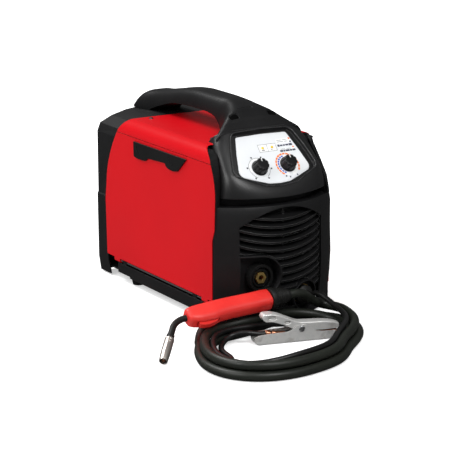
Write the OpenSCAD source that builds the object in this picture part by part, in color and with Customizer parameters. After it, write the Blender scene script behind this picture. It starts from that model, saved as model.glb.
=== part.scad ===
// MIG welding machine with torch, work clamp and leads.
// Origin: centre of the machine's footprint on the floor. +Z up, the control side faces -Y.

/* [Body] */
// Overall width of the machine
body_w = 240; // [220:1:280]
// Overall length of the mouldings
body_l = 460; // [440:1:520]
// Height of the flat top of the red cover
cover_h = 305; // [295:1:330]
// Outside radius of the fold between top and sides
fold_r = 24; // [14:1:30]
// Thickness of the cover and door sheet
cover_t = 1.2; // [0.8:0.1:2]
// Height of the lower edge of the cover and door
cover_z = 43; // [40:1:50]
// Wall thickness of the plastic mouldings
wall = 3; // [2:0.5:4]
// Clearance between neighbouring pieces
gap = 0.3; // [0.2:0.05:0.5]

/* [Front] */
// Radius of the bowed front in plan
front_r = 179; // [175:1:186]
// Height of the top edge of the lower front moulding
front_h = 207; // [203:1:210]
// Height of the dark groove under the control housing
groove_h = 14; // [10:1:18]
// Depth of that groove
groove_d = 22; // [12:1:26]
// Half width of the louvre opening
grille_w = 83; // [70:1:88]
// Number of louvre slats
slats = 11; // [8:1:12]
// Spacing of the slats
slat_pitch = 13.7; // [12:0.1:15]
// Thickness of a slat
slat_t = 3; // [2:0.5:5]
// Angle of a slat above the horizontal
slat_a = 33; // [20:1:40]

/* [Control panel] */
// Slope of the control panel
panel_a = 48.6; // [42:0.2:52]
// Depth of the recess round the control panel
recess_d = 4; // [2:0.5:6]
// Thickness of the panel plate
plate_t = 1.5; // [1:0.1:2.5]
// Half distance between the two knobs
knob_x = 28.5; // [24:0.5:34]
// Radius of a control knob
knob_r = 14.5; // [10:0.5:18]
// Height of a control knob
knob_h = 16; // [10:0.5:22]
// Radius of a knob's shaft
shaft_r = 3; // [2:0.1:4]

/* [Handle] */
// Height of the top of the handle
handle_h = 365; // [355:1:380]
// Half width of the grip
grip_w = 30; // [22:1:36]
// Thickness of the grip
grip_t = 20; // [14:1:26]

/* [Wire feed] */
// Radius of the wire spool
spool_r = 100; // [80:1:104]
// Width of the wire spool
spool_w = 55; // [45:1:60]
// Radius of the spool's axle
axle_r = 25; // [18:0.5:25]
// Radius of the drive roller
roller_r = 15; // [12:0.5:18]

/* [Cooling fan] */
// Side of the square fan frame
fan_w = 120; // [92:1:124]
// Number of fan blades
blades = 7; // [5:1:9]

/* [Torch] */
// Length of the torch handle
torch_l = 158; // [140:1:170]
// Outside radius of the gas nozzle
nozzle_r = 8; // [7:0.5:10]
// Length of the gas nozzle
nozzle_l = 52; // [40:1:60]
// Bend of the torch neck
neck_a = 52; // [45:1:60]
// Radius of the torch neck
neck_r = 5.5; // [4:0.5:7]
// Diameter of the torch lead
hose_d = 16; // [14:0.5:16]

/* [Work clamp] */
// Length of the work clamp
clamp_l = 149; // [140:1:152]
// Width of the lower arm of the clamp
clamp_w = 26; // [22:1:30]
// Sheet thickness of the clamp arms
clamp_t = 1.8; // [1.2:0.1:2.2]
// Diameter of the earth lead
lead_d = 9.5; // [7:0.5:9.5]

/* [Hidden] */
$fn = 48;

RED = [0.80, 0.05, 0.07];
BLACK = [0.10, 0.10, 0.11];
SILVER = [0.80, 0.81, 0.83];
STEEL = [0.62, 0.64, 0.66];
BRASS = [0.72, 0.57, 0.28];
HOSE = [0.13, 0.14, 0.13];

hw = body_w / 2;                    // half width over the covers
hl = body_l / 2;                    // half length over the mouldings
inner_w = hw - cover_t - gap;       // half width of what is tucked under the covers
inner_h = cover_h - cover_t - gap;  // top of what is tucked under the cover
inner_r = fold_r - cover_t - gap;
seam_z = cover_h - fold_r - 1;      // seam between door and cover
bow_y = front_r - hl;               // centre of the bowed front in plan
edge_y = hl - 49;                   // front edge of the covers at the bottom
rear_y = hl - 35;                   // rear edge of the covers at its widest
tray_z = 16;                        // underside of the base tray
tray_t = 2;
foot_hole_r = 2.7;
floor_z = tray_z + tray_t;          // what the inner pieces stand on
divider_x = -18;                    // left face of the divider
divider_t = 1.6;
pod_z = front_h + groove_h;         // underside of the control housing
panel_y = -(hl - 44);               // panel reference line, at the height of the knobs
panel_z = (pod_z + cover_h) / 2 + 2;
panel_f = (cover_h - pod_z) / 84;   // how far the panel is stretched up the slope
crease_s = 66 * panel_f + 10;       // how far up the slope the control housing ends
plane_k = 1 / tan(panel_a);         // run of the slope per rise
crease_y = panel_y + crease_s * cos(panel_a) - recess_d * sin(panel_a);
crease_z = panel_z + crease_s * sin(panel_a) + recess_d * cos(panel_a);
hinge_r = 4;                        // outside of the door's hinge knuckles
hinge_x = -(hw - hinge_r);
hinge_z = cover_z - hinge_r;
pin_r = 2;

// ---------- shared shapes ----------

// Half round-cornered section of the covers, w half wide, top z t, corner r, from z b up
module section(w, t, r, b) {
  translate([-w, b]) square([2 * w, t - r - b]);
  translate([-(w - r), b]) square([2 * (w - r), t - b]);
  for (s = [-1, 1]) translate([s * (w - r), t - r]) circle(r);
}

// A plan of (x, z) drawn on the front, carried from y0 back to y1
module along_y(y0, y1) {
  translate([0, y1, 0]) rotate([90, 0, 0]) linear_extrude(y1 - y0) children();
}

// A side view of (y, z) carried from x0 to x1
module along_x(x0, x1) {
  translate([x0, 0, 0]) rotate([90, 0, 90]) linear_extrude(x1 - x0) children();
}

// Front edge of the door and of the left fold: upright, a small step, then raked back
function front_left(z) = let (k = z - seam_z - 1)
  k < -131 ? -edge_y :
  k < -113 ? -edge_y - 7 * (k + 131) / 18 :
  k < -59 ? -edge_y - 7 - 2 * (k + 113) / 54 :
  k < 0 ? -edge_y - 9 + 15 * pow((k + 59) / 59, 2) :
  -edge_y + 6 + 42 * pow(k / fold_r, 2);
// Front edge of the right side, raked back further
function front_right(z) = let (k = z - seam_z - 1)
  k < -85 ? -edge_y :
  k < 10 ? -edge_y + 52 * pow((k + 85) / 85, 1.5) :
  -edge_y + 61 - 13 * (k - 10) / 14;
// Rear edge of door and cover
function rear_edge(z) = z < seam_z - 130 ? rear_y - 3 + 5 * z / (seam_z - 130) :
  rear_y - 1 - 45 * pow(max(0, z - seam_z + 117) / 118, 2);

// Heights at which these edges are drawn
edge_ks = [-132, -113, -85, -71, -59, -47, -35, -25, -15, -5, 0, 5, 10, 15, 19, 22, 25, 29];
edge_zs = concat([0], [for (k = edge_ks) seam_z + 1 + k]);

module side_profile(front, z0, z1, grow = 0) {
  zs = concat([z0], [for (e = edge_zs) if (e > z0 && e < z1) e], [z1]);
  n = len(zs);
  polygon(concat(
    [for (z = zs) [(front == 0 ? front_left(z) : front_right(z)) - grow, z]],
    [for (i = [n - 1:-1:0]) [rear_edge(zs[i]) + grow, zs[i]]]));
}

// Frame of the sloping panel: x across, y up the slope, z out of it
module on_panel() {
  translate([0, panel_y, panel_z]) rotate([panel_a, 0, 0]) children();
}

module screw(r, l) {
  cylinder(r = r, h = l);
  translate([0, 0, l]) cylinder(r1 = 2 * r, r2 = 1.4 * r, h = 0.8 * r);
}

// ---------- tube along a line of points ----------

function unit(v) = v / norm(v);
function ring(c, t, r, n) =
  let (s = unit(cross(t, [0, 0, 1])), u = cross(s, t))
  [for (k = [0:n - 1]) c + r * (cos(360 * k / n) * u + sin(360 * k / n) * s)];
function direction(p, i) =
  i == 0 ? unit(p[1] - p[0]) :
  i == len(p) - 1 ? unit(p[i] - p[i - 1]) :
  unit(unit(p[i + 1] - p[i]) + unit(p[i] - p[i - 1]));
function tube_points(p, r, n) = [for (i = [0:len(p) - 1]) each ring(p[i], direction(p, i), r, n)];
function tube_faces(m, n) = concat(
  [for (k = [1:n - 2]) [0, k, k + 1]],
  [for (k = [1:n - 2]) [(m - 1) * n, (m - 1) * n + k + 1, (m - 1) * n + k]],
  [for (i = [0:m - 2], k = [0:n - 1]) each
    let (a = i * n + k, b = i * n + (k + 1) % n) [[a, a + n, b], [b, a + n, b + n]]]);

module tube(p, r, n) {
  polyhedron(tube_points(p, r, n), tube_faces(len(p), n));
}

// ---------- base ----------

module base_tray() {
  color(BLACK) {
    // pan with upturned sides; the left side carries the hinge ears
    difference() {
      translate([-inner_w, -edge_y + 34, tray_z]) cube([2 * inner_w, edge_y + rear_y - 74, 18]);
      translate([-inner_w + tray_t, -edge_y + 33, floor_z])
        cube([2 * (inner_w - tray_t), edge_y + rear_y - 72, 18]);
    }
    // tongue that closes the underside at the back
    translate([-hw + 8, rear_y - 42, tray_z]) cube([body_w - 16, 77 - wall - gap, tray_t]);
    // side rails
    for (s = [-1, 1])
      translate([s > 0 ? inner_w - 14 : -inner_w, -edge_y + 64, tray_z - 3])
        cube([14, edge_y + rear_y - 148, 3]);
    // hinge ears
    for (y = [-120, 130]) translate([hinge_x, y, 0]) ear();
  }
}

module ear() {
  translate([0, 6, hinge_z]) rotate([90, 0, 0]) difference() {
    union() {
      cylinder(r = hinge_r - 0.6, h = 12);
      translate([-hinge_r + 1.8, floor_z - 1 - hinge_z, 0])
        cube([2 * hinge_r - 4, hinge_z - floor_z + 1, 12]);
    }
    translate([0, 0, -1]) cylinder(r = pin_r, h = 14);
  }
}

module feet() {
  color([0.06, 0.06, 0.06])
    for (x = [-1, 1], y = [-1, 1]) translate([x * (inner_w - 18.5), y * 112, 0]) difference() {
      union() {
        cylinder(r1 = 10, r2 = 12, h = 8);
        translate([0, 0, 8]) cylinder(r = 12, h = tray_z - 8 - 3);
      }
      // takes a screw from below
      translate([0, 0, -1]) cylinder(r = foot_hole_r, h = tray_z);
    }
}

// ---------- front ----------

// Side of the bowed skin: [radius, z] from the floor up
skin = [[-11, 3], [-5, 10], [-2.6, 44.5], [0, 67], [2, 102], [0.5, 140], [0, 160], [0, 193], [-3, 207]];

module front_skin() {
  outer = [for (p = skin) [front_r + p[0], p[1] >= 207 ? front_h : p[1]]];
  translate([0, bow_y, 0]) rotate_extrude($fn = 96)
    polygon(concat(outer, [
      [front_r - 3 - groove_d, front_h], [front_r - 3 - groove_d, pod_z],
      [front_r - 3 - groove_d - wall, pod_z],
      [front_r - 3 - groove_d - wall, front_h - wall], [front_r - 4.5, front_h - wall],
      [front_r - 4.5, 24], [front_r - 11 - wall, 16], [front_r - 11 - wall, 3]]));
}

pocket_x = -47;
pocket_z = 86;
pocket_r = 34.5;
socket_x = -46;
socket_z = 83;
earth_x = 44;
earth_z = 40;
earth_r = 25;
pocket_y = -204;

module torch_pocket(grow) {
  translate([pocket_x, pocket_z]) circle(pocket_r + grow);
  translate([-grille_w + 1 - grow, pocket_z - pocket_r - grow])
    square([grille_w - 1 + pocket_x + grow, 2 * (pocket_r + grow)]);
}

module earth_pocket(grow) {
  translate([earth_x, earth_z]) circle(earth_r + grow);
}

// Louvre opening: straight sides and a low arch above
module grille_outline(grow) {
  n = 24;
  polygon(concat(
    [[-grille_w - grow, 26 - grow], [grille_w + grow, 26 - grow]],
    [for (i = [0:n]) let (x = (grille_w + grow) * (1 - 2 * i / n))
      [x, front_h - 4 - 30 * pow(x / grille_w, 2) + grow]]));
}

// Between the control housing and the edge of the cover; the face turns back by a in plan
module post_region(side) {
  a = side < 0 ? 28 : 58;
  y0 = -edge_y - 4;
  zs = [for (z = edge_zs) if (z > front_h) z];
  translate([side * inner_w, y0, 0]) rotate([0, 0, a]) along_x(side < 0 ? -20 : -70, side < 0 ? 40 : 20)
    polygon(concat(
      [for (z = concat([front_h], zs)) [((side < 0 ? front_left(z) : front_right(z)) - y0) * cos(a), z]],
      [[120, cover_h + 5], [120, front_h]]));
}

module front_moulding() {
  color(BLACK) {
    difference() {
      union() {
        intersection() {
          front_skin();
          translate([-inner_w, -hl - 10, 0]) cube([2 * inner_w, hl - 130, pod_z]);
        }
        // sides, tucked under the door and the cover
        intersection() {
          for (s = [-1, 1]) translate([s > 0 ? inner_w - wall : -inner_w, -hl, 3])
            cube([wall, hl - edge_y + 31, front_h - 3]);
          translate([0, bow_y, 0]) cylinder(r = front_r - 3, h = front_h, $fn = 96);
        }
        // pocket walls
        intersection() {
          along_y(-hl - 10, pocket_y + wall) {
            torch_pocket(2.5);
            earth_pocket(2.5);
          }
          translate([0, bow_y, 0]) cylinder(r = front_r - 3, h = front_h, $fn = 96);
        }
      }
      // room for the door's hinge
      translate([-hw, -edge_y + 9, 0]) cube([2 * hinge_r + 1, 43, cover_z + 3]);
      // louvre opening, but not through the pockets
      difference() {
        along_y(-hl - 20, pocket_y + 30) grille_outline(0);
        along_y(-hl - 30, pocket_y + 40) {
          torch_pocket(2.5);
          earth_pocket(2.5);
        }
      }
      along_y(-hl - 20, pocket_y) {
        torch_pocket(0);
        earth_pocket(0);
      }
      // seats of the two sockets
      translate([socket_x, 0, socket_z]) rotate([90, 0, 0]) cylinder(r = 17, h = hl);
      translate([earth_x, 0, earth_z]) rotate([90, 0, 0]) cylinder(r = 14, h = hl);
    }
    posts();
    // band tucked under the top of the cover
    difference() {
      along_y(-132, -112) section(inner_w, inner_h, inner_r, front_h);
      along_y(-140, -100) section(inner_w - wall, inner_h - wall, inner_r - wall, front_h - 50);
    }
  }
}

module posts() {
  for (s = [-1, 1]) intersection() {
    translate([s > 0 ? 0 : -inner_w, -hl, front_h]) cube([inner_w, hl - 112, 100]);
    along_y(-hl, -112) section(inner_w, inner_h, inner_r, front_h - 50);
    translate([0, bow_y, front_h]) cylinder(r = front_r, h = 100, $fn = 96);
    difference() {
      post_region(s);
      pod_sides(1);
      translate([-inner_w + wall, -hl + 88, front_h + 6]) cube([2 * (inner_w - wall), 60, 100]);
    }
  }
}

module front_louvres() {
  color(BLACK) difference() {
    intersection() {
      union() {
        for (k = [0:slats - 1]) translate([0, -hl, front_h - 27 - slat_pitch * k])
          rotate([slat_a, 0, 0]) translate([-grille_w - 3, -10, -slat_t])
            cube([2 * grille_w + 6, 90, slat_t]);
        // side members that carry the slats
        for (s = [-1, 1]) translate([s > 0 ? grille_w : -grille_w - 5, -hl, 25]) cube([5, 80, front_h]);
        // rib behind the slats
        intersection() {
          translate([-1.5, -hl, 25]) cube([3, 80, front_h]);
          translate([0, bow_y, 0]) cylinder(r = front_r - 13.5, h = front_h, $fn = 96);
        }
      }
      translate([0, bow_y, 25]) difference() {
        cylinder(r = front_r - 4.5 - gap, h = front_h - 25 - wall - gap, $fn = 96);
        translate([0, 0, -1]) cylinder(r = front_r - 17, h = front_h, $fn = 96);
      }
    }
    along_y(-hl - 10, pocket_y + wall + gap) {
      torch_pocket(3.5);
      earth_pocket(3.5);
    }
  }
}

// ---------- control housing ----------

pod_w0 = hw - 15;   // half width at its foot
pod_k = 0.145 / panel_f;  // how much the sides lean in

module pod_sides(grow) {
  w0 = pod_w0 + grow;
  w1 = pod_w0 + grow - pod_k * (crease_z + 40 - pod_z);
  along_y(-hl - 20, -60) polygon([
    [-w0, front_h - 1], [w0, front_h - 1], [w0, pod_z],
    [w1, crease_z + 40], [-w1, crease_z + 40], [-w0, pod_z]]);
}

// The housing inset by d on every outer face
module pod(d) {
  k = d * (tan(panel_a) + 1 / cos(panel_a));
  intersection() {
    along_y(-hl - 20, -60) polygon([
      [-pod_w0 + d, pod_z + d], [pod_w0 - d, pod_z + d],
      [pod_w0 - d - pod_k * (crease_z + 9 - pod_z), crease_z + 9],
      [-pod_w0 + d + pod_k * (crease_z + 9 - pod_z), crease_z + 9]]);
    translate([0, bow_y, 0]) rotate_extrude($fn = 96)
      polygon([[0, pod_z], [front_r - 7 - d, pod_z], [front_r - 3 - d, pod_z + 4],
        [front_r - 3 - d, handle_h + 35], [0, handle_h + 35]]);
    along_x(-hw, hw) polygon([
      [-hl - 20, pod_z + d], [crease_y - d, pod_z + d], [crease_y - d, crease_z - k],
      [crease_y - d - (crease_z - k - pod_z) * plane_k, pod_z],
      [-hl - 20, pod_z]]);
  }
}

// Half outline of the plate, and of the recess round it: [x, distance up the slope]
plate_pts = [[0, 65], [50.5, 63.6], [61, 31], [70, -3], [69, -9], [65, -14],
  [45, -22], [21, -31], [0, -32.5]];
recess_pts = [[0, 73.6], [53, 71], [59, 67], [63, 62], [74, 31], [82, 0], [82, -6], [79, -12], [72, -16],
  [53, -25], [33, -36], [0, -40]];

module mirrored(pts) {
  n = len(pts);
  scale([1, panel_f])
    polygon(concat(pts, [for (i = [n - 1:-1:0]) if (pts[i][0] > 0) [-pts[i][0], pts[i][1]]]));
}

// Opening behind the plate
module panel_opening() {
  on_panel() translate([-46, -18, -40]) cube([92, 18 + 56 * panel_f, 60]);
}

module panel_housing() {
  color(BLACK) difference() {
    pod(0);
    pod(wall);
    // recess round the panel, and the opening behind the plate
    on_panel() linear_extrude(30) mirrored(recess_pts);
    panel_opening();
  }
  color(BLACK) difference() {
    // floor of the recess
    intersection() {
      pod(0);
      on_panel() translate([0, 0, -plate_t - wall]) linear_extrude(wall) mirrored(recess_pts);
    }
    panel_opening();
  }
}

module control_panel() {
  color(SILVER) on_panel() difference() {
    translate([0, 0, -plate_t]) linear_extrude(plate_t) mirrored(plate_pts);
    for (s = [-1, 1]) translate([s * knob_x, 0, -plate_t - 1]) cylinder(r = shaft_r + 0.5, h = plate_t + 2);
    translate([-15, 29 * panel_f, -plate_t - 1]) cube([36, 15.5 * panel_f, plate_t + 2]);
  }
}

module indicator_window() {
  color([0.93, 0.93, 0.9]) on_panel() difference() {
    translate([-14.9, 29 * panel_f + 0.1, -plate_t]) cube([35.8, 15.5 * panel_f - 0.2, plate_t - 0.3]);
    for (x = [-7, 12]) translate([x, 37 * panel_f, -plate_t - 1]) cylinder(r = 2.5, h = 4);
  }
}

module indicator_leds() {
  color([0.9, 0.75, 0.1]) on_panel() for (x = [-7, 12]) translate([x, 37 * panel_f, -8]) {
    cylinder(r = 2.4, h = 8);
    translate([0, 0, 8]) intersection() {
      sphere(r = 2.4);
      cylinder(r = 3, h = 3);
    }
  }
}

board_s = -14;      // depth of the control board behind the panel

module control_board() {
  color([0.05, 0.3, 0.15]) on_panel() difference() {
    union() {
      translate([-44, -16, board_s]) cube([88, 16 + 54 * panel_f, 1.6]);
      // corner posts
      for (x = [-44, 38], y = [-16, 54 * panel_f - 8]) translate([x, y, board_s]) cube([6, 8, 4]);
    }
    for (s = [-1, 1]) translate([s * knob_x, 0, board_s - 1]) cylinder(r = shaft_r + 2, h = 4);
    for (x = [-7, 12]) translate([x, 37, board_s - 1]) cylinder(r = 0.8, h = 4);
  }
  color([0.1, 0.1, 0.1]) on_panel() for (x = [-7, 12])
    translate([x, 37 * panel_f, board_s]) cylinder(r = 2.2, h = -8 - board_s);
  // side lugs that hold the board on the housing
  color([0.05, 0.3, 0.15]) on_panel() for (s = [-1, 1])
    translate([s > 0 ? 43 : -49, 10, -plate_t - wall - 2]) cube([6, 20, 2]);
  color([0.05, 0.3, 0.15]) on_panel() for (s = [-1, 1])
    translate([s > 0 ? 43 : -44.9, 10, board_s]) cube([1.9, 20, -plate_t - wall - board_s]);
}

module potentiometers() {
  color(STEEL) on_panel() for (s = [-1, 1]) translate([s * knob_x, 0, 0]) difference() {
    union() {
      translate([0, 0, board_s - 8]) cylinder(r = 9, h = 8);
      translate([0, 0, board_s]) cylinder(r = shaft_r + 1.8, h = -plate_t - board_s - gap);
    }
    translate([0, 0, board_s - 6]) cylinder(r = shaft_r + 0.05, h = 40);
  }
}

module knob(s) {
  on_panel() translate([s * knob_x, 0, 0]) {
    color(BLACK) difference() {
      union() {
        translate([0, 0, gap]) cylinder(r = knob_r, h = 3);
        translate([0, 0, 3]) cylinder(r1 = knob_r - 1, r2 = knob_r - 2.5, h = knob_h - 4);
        translate([0, 0, knob_h - 1]) cylinder(r1 = knob_r - 2.5, r2 = knob_r - 4, h = 1);
      }
      // pointer groove and finger flutes
      translate([-0.9, knob_r - 7, knob_h - 1.2]) cube([1.8, 8, 2]);
      for (a = [20:40:340]) rotate([0, 0, a + 90]) translate([knob_r, 0, 4]) cylinder(r = 2, h = knob_h);
    }
    color(STEEL) translate([0, 0, board_s - 6 + gap]) cylinder(r = shaft_r, h = -board_s + 7);
  }
}

module knob_left() {
  knob(-1);
}

module knob_right() {
  knob(1);
}

// ---------- handle ----------

// Stations along the handle: [y, half width, top, underside, squareness]
base_z = cover_h;
grip_z = handle_h - grip_t - 1;
// Height at part f of the rise from cover to grip top, and of the room below the grip
function rise_at(f) = base_z + f * (handle_h - base_z);
function room_at(f) = base_z + f * (grip_z - base_z);
handle_stations = [
  [crease_y + gap, grip_w + 61, crease_z, base_z, 9],
  [crease_y + 9, grip_w + 52, crease_z + 9 / plane_k, base_z, 5],
  [crease_y + 17, grip_w + 42, crease_z + 17 / plane_k, base_z, 4],
  [-110, grip_w + 28, rise_at(0.683), base_z, 4],
  [-96, grip_w + 16, rise_at(0.817), base_z, 4],
  [-80, grip_w + 7, rise_at(0.95), base_z, 4],
  [-66, grip_w + 2, rise_at(0.992), base_z, 4],
  [-56, grip_w, handle_h, room_at(0.41), 4],
  [-46, grip_w, handle_h, room_at(0.795), 4],
  [-32, grip_w, handle_h, room_at(0.96), 4],
  [-10, grip_w, handle_h, grip_z, 4],
  [30, grip_w, handle_h, grip_z, 4],
  [65, grip_w, rise_at(0.958), room_at(0.974), 4],
  [95, grip_w, rise_at(0.883), room_at(0.897), 4],
  [120, grip_w, rise_at(0.8), room_at(0.718), 4],
  [146, grip_w, rise_at(0.717), room_at(0.46), 4],
  [168, grip_w + 1, rise_at(0.65), room_at(0.205), 4],
  [184, grip_w + 3, rise_at(0.617), base_z, 4],
  [200, grip_w + 6, rise_at(0.583), base_z, 4],
  [214, grip_w + 9, rise_at(0.5), base_z, 4],
  [224, grip_w + 10, rise_at(0.367), base_z, 4],
  [hl, grip_w + 10, rise_at(0.167), base_z, 5]
];
crown = 14;

function handle_section(s) = concat(
  [[-s[1], s[0], s[3]]],
  [for (i = [0:crown]) let (t = -cos(180 * i / crown), e = s[4])
    [s[1] * t, s[0], s[3] + 3 + (s[2] - s[3] - 3) * pow(max(0, 1 - pow(abs(t), e)), 0.5)]],
  [[s[1], s[0], s[3]]]);

module loft(sections) {
  m = len(sections);
  n = len(sections[0]);
  polyhedron([for (s = sections) each s], concat(
    [for (k = [1:n - 2]) [0, k, k + 1]],
    [for (k = [1:n - 2]) [(m - 1) * n, (m - 1) * n + k + 1, (m - 1) * n + k]],
    [for (i = [0:m - 2], k = [0:n - 1]) each
      let (a = i * n + k, b = i * n + (k + 1) % n) [[a, a + n, b], [b, a + n, b + n]]]));
}

module handle() {
  color(BLACK) loft([for (s = handle_stations) handle_section(s)]);
}

// ---------- covers ----------

module cover_bounds() {
  along_x(-hw - 1, 0) side_profile(0, cover_z, cover_h + 1);
  along_x(0, hw + 1) side_profile(1, cover_z, cover_h + 1);
}

module top_cover() {
  color(RED) intersection() {
    difference() {
      along_y(-hl, hl) section(hw, cover_h, fold_r, cover_z);
      along_y(-hl - 1, hl + 1) section(hw - cover_t, cover_h - cover_t, fold_r - cover_t, 0);
      translate([-hw - 1, -hl, 0]) cube([hw, body_l, seam_z + 0.5]);
    }
    cover_bounds();
  }
}

module rear_outline(w, k) {
  // w: half width, k: how far the shoulders are inset
  polygon([
    [-w + 5, 3], [w - 5, 3], [w - 1, 30], [w, 151], [w - 2, 153], [w - 2, seam_z - 12],
    [w - 8 - k, seam_z + 3 - k], [w - 32 - k, seam_z + 14 - k], [w - 63 - k, seam_z + 22 - k],
    [w - 87, cover_h - gap - k], [-w + 87, cover_h - gap - k],
    [-w + 63 + k, seam_z + 22 - k], [-w + 32 + k, seam_z + 14 - k], [-w + 8 + k, seam_z + 3 - k],
    [-w + 2, seam_z - 12], [-w + 2, 153], [-w, 151], [-w + 1, 30]]);
}

module rear_moulding() {
  color(BLACK) difference() {
    union() {
      difference() {
        along_y(rear_y - 60, hl) rear_outline(hw - 0.5, 0);
        // what the covers take
        along_x(-hw - 2, hw + 2) polygon(concat(
          [for (z = concat([20], [for (e = edge_zs) if (e > 20) e])) [rear_edge(z) + gap, z]],
          [[0, cover_h + 5], [0, 20]]));
        translate([-hw, 0, -1]) cube([body_w, rear_edge(0) + gap, 22]);
      }
      // flange tucked under them
      along_y(rear_y - 64, rear_y + 5) intersection() {
        section(inner_w, inner_h, inner_r, cover_z + 6);
        rear_outline(hw - 0.5, 0);
      }
    }
    along_y(rear_y - 70, hl - wall) rear_outline(hw - 0.5 - wall, wall);
    translate([fan_x, hl + 1, fan_z]) rotate([90, 0, 0]) cylinder(r = fan_w / 2 - 3, h = 20);
    translate([rear_x - 11.2, hl - 10, 140 - 15.2]) cube([22.4, 20, 30.4]);
    for (z = [60, 95]) translate([rear_x, hl + 1, z]) rotate([90, 0, 0])
      cylinder(r = z < 80 ? 10 : 7, h = 20);
  }
}

rear_x = -60;       // switch, gland and gas inlet stand in one column
fan_x = 48;
fan_z = 130;

module fan_grille() {
  color(BLACK) translate([fan_x, hl, fan_z]) rotate([90, 0, 0]) difference() {
    union() {
      for (r = [10:9:fan_w / 2 - 12]) difference() {
        cylinder(r = r + 1.5, h = 2.5);
        translate([0, 0, -1]) cylinder(r = r - 1.5, h = 5);
      }
      difference() {
        cylinder(r = fan_w / 2 - 3 - 0.1, h = wall);
        translate([0, 0, -1]) cylinder(r = fan_w / 2 - 6, h = wall + 2);
      }
      for (a = [45, 135]) rotate([0, 0, a]) translate([-fan_w / 2 + 4, -2, 0.4]) cube([fan_w - 8, 4, 1.7]);
    }
  }
}

fan_y = hl - wall;

module fan_frame() {
  color([0.08, 0.08, 0.08]) translate([fan_x, fan_y, fan_z]) rotate([90, 0, 0]) difference() {
    union() {
      difference() {
        translate([-fan_w / 2, -fan_w / 2, 0]) cube([fan_w, fan_w, 25]);
        translate([0, 0, -1]) cylinder(r = fan_w / 2 - 3, h = 27);
      }
      // stator boss on four arms
      translate([0, 0, 20]) cylinder(r = 18, h = 5);
      for (a = [0, 90]) rotate([0, 0, a]) translate([-fan_w / 2 + 2, -3, 22]) cube([fan_w - 4, 6, 3]);
    }
    for (x = [-1, 1], y = [-1, 1])
      translate([x * (fan_w / 2 - 7), y * (fan_w / 2 - 7), -1]) cylinder(r = 2.2, h = 30);
    translate([0, 0, 18]) cylinder(r = 3.05, h = 8);
  }
}

module fan_rotor() {
  color([0.12, 0.12, 0.12]) translate([fan_x, fan_y, fan_z]) rotate([90, 0, 0]) {
    translate([0, 0, 3]) cylinder(r = 19, h = 16);
    translate([0, 0, 18]) cylinder(r = 3, h = 6);
    for (a = [0:360 / blades:359]) rotate([0, 0, a]) translate([16, 0, 11]) rotate([38, 0, 0])
      translate([0, -9, -1]) cube([fan_w / 2 - 3 - 16 - 3, 18, 2]);
  }
}

module mains_switch_frame() {
  color([0.07, 0.07, 0.07]) translate([rear_x, 0, 140]) difference() {
    union() {
      translate([-11, hl - 22, -15]) cube([22, 22, 30]);
      translate([-13, hl, -17]) cube([26, 2, 34]);
    }
    translate([-8, hl - 12, -12]) cube([16, 20, 24]);
    translate([-12, hl - 4, 0]) rotate([0, 90, 0]) cylinder(r = 1.5, h = 24);
  }
}

module mains_switch_rocker() {
  color([0.75, 0.06, 0.05]) translate([rear_x, hl - 4, 140]) {
    rotate([6, 0, 0]) along_x(-7.6, 7.6)
      polygon([[-4, -9], [3.5, -11], [7, -10.4], [4.5, 0], [7, 10.4], [3.5, 11], [-4, 9]]);
    rotate([0, 90, 0]) translate([0, 0, -10.5]) cylinder(r = 1.45, h = 21);
  }
}

module mains_gland() {
  color([0.08, 0.08, 0.08]) translate([rear_x, hl, 60]) rotate([-90, 0, 0]) difference() {
    union() {
      translate([0, 0, -wall - 5]) cylinder(r = 9.8, h = wall + 6);
      translate([0, 0, -wall - 5]) cylinder(r = 14, h = 5, $fn = 6);
      cylinder(r = 15, h = 7, $fn = 6);
      translate([0, 0, 7]) cylinder(r1 = 12, r2 = 8, h = 13);
    }
    translate([0, 0, -20]) cylinder(r = 4.5, h = 60);
  }
}

module gas_inlet() {
  color(BRASS) translate([rear_x, hl, 95]) rotate([-90, 0, 0]) difference() {
    union() {
      translate([0, 0, -wall - 8]) cylinder(r = 6.8, h = wall + 9);
      translate([0, 0, -wall - 4]) cylinder(r = 11, h = 4, $fn = 6);
      cylinder(r = 10, h = 5, $fn = 6);
      translate([0, 0, 5]) cylinder(r = 4, h = 18);
      for (z = [9, 14, 19]) translate([0, 0, z]) cylinder(r1 = 5, r2 = 4, h = 3.5);
    }
    translate([0, 0, -20]) cylinder(r = 2.2, h = 60);
  }
}

module cover_screws() {
  color(STEEL) {
    for (y = [-120, 0, 120]) translate([hw, y, 60]) rotate([0, 90, 0]) screw_head();
    for (s = [-1, 1], y = [-100, rear_edge(cover_h) - 17]) translate([s * 70, y, cover_h]) screw_head();
    for (s = [-1, 1], z = [40, seam_z - 30]) translate([s * 95, hl, z]) rotate([-90, 0, 0]) screw_head();
  }
}

module screw_head() {
  difference() {
    cylinder(r1 = 4, r2 = 2.8, h = 2.2);
    translate([-2.5, -0.4, 1.2]) cube([5, 0.8, 2]);
    translate([-0.4, -2.5, 1.2]) cube([0.8, 5, 2]);
  }
}

// ---------- door ----------

module side_door() {
  color(RED) {
    intersection() {
      translate([-hw, -hl, cover_z]) cube([cover_t, body_l, seam_z - cover_z - 0.5]);
      along_x(-hw - 1, 0) side_profile(0, cover_z, seam_z);
    }
    // rolled knuckles at both ends
    for (y = [-166, 146]) translate([hinge_x, y + 20, hinge_z]) rotate([90, 0, 0]) difference() {
      union() {
        cylinder(r = hinge_r, h = 20);
        translate([-hinge_r, 0, 0]) cube([cover_t, hinge_r + 1, 20]);
      }
      translate([0, 0, -1]) cylinder(r = pin_r + 0.06, h = 22);
    }
  }
}

module hinge_pin() {
  color(STEEL) translate([hinge_x, 170, hinge_z]) rotate([90, 0, 0]) cylinder(r = pin_r, h = 340);
}

plate_z = cover_h - 40;

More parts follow.
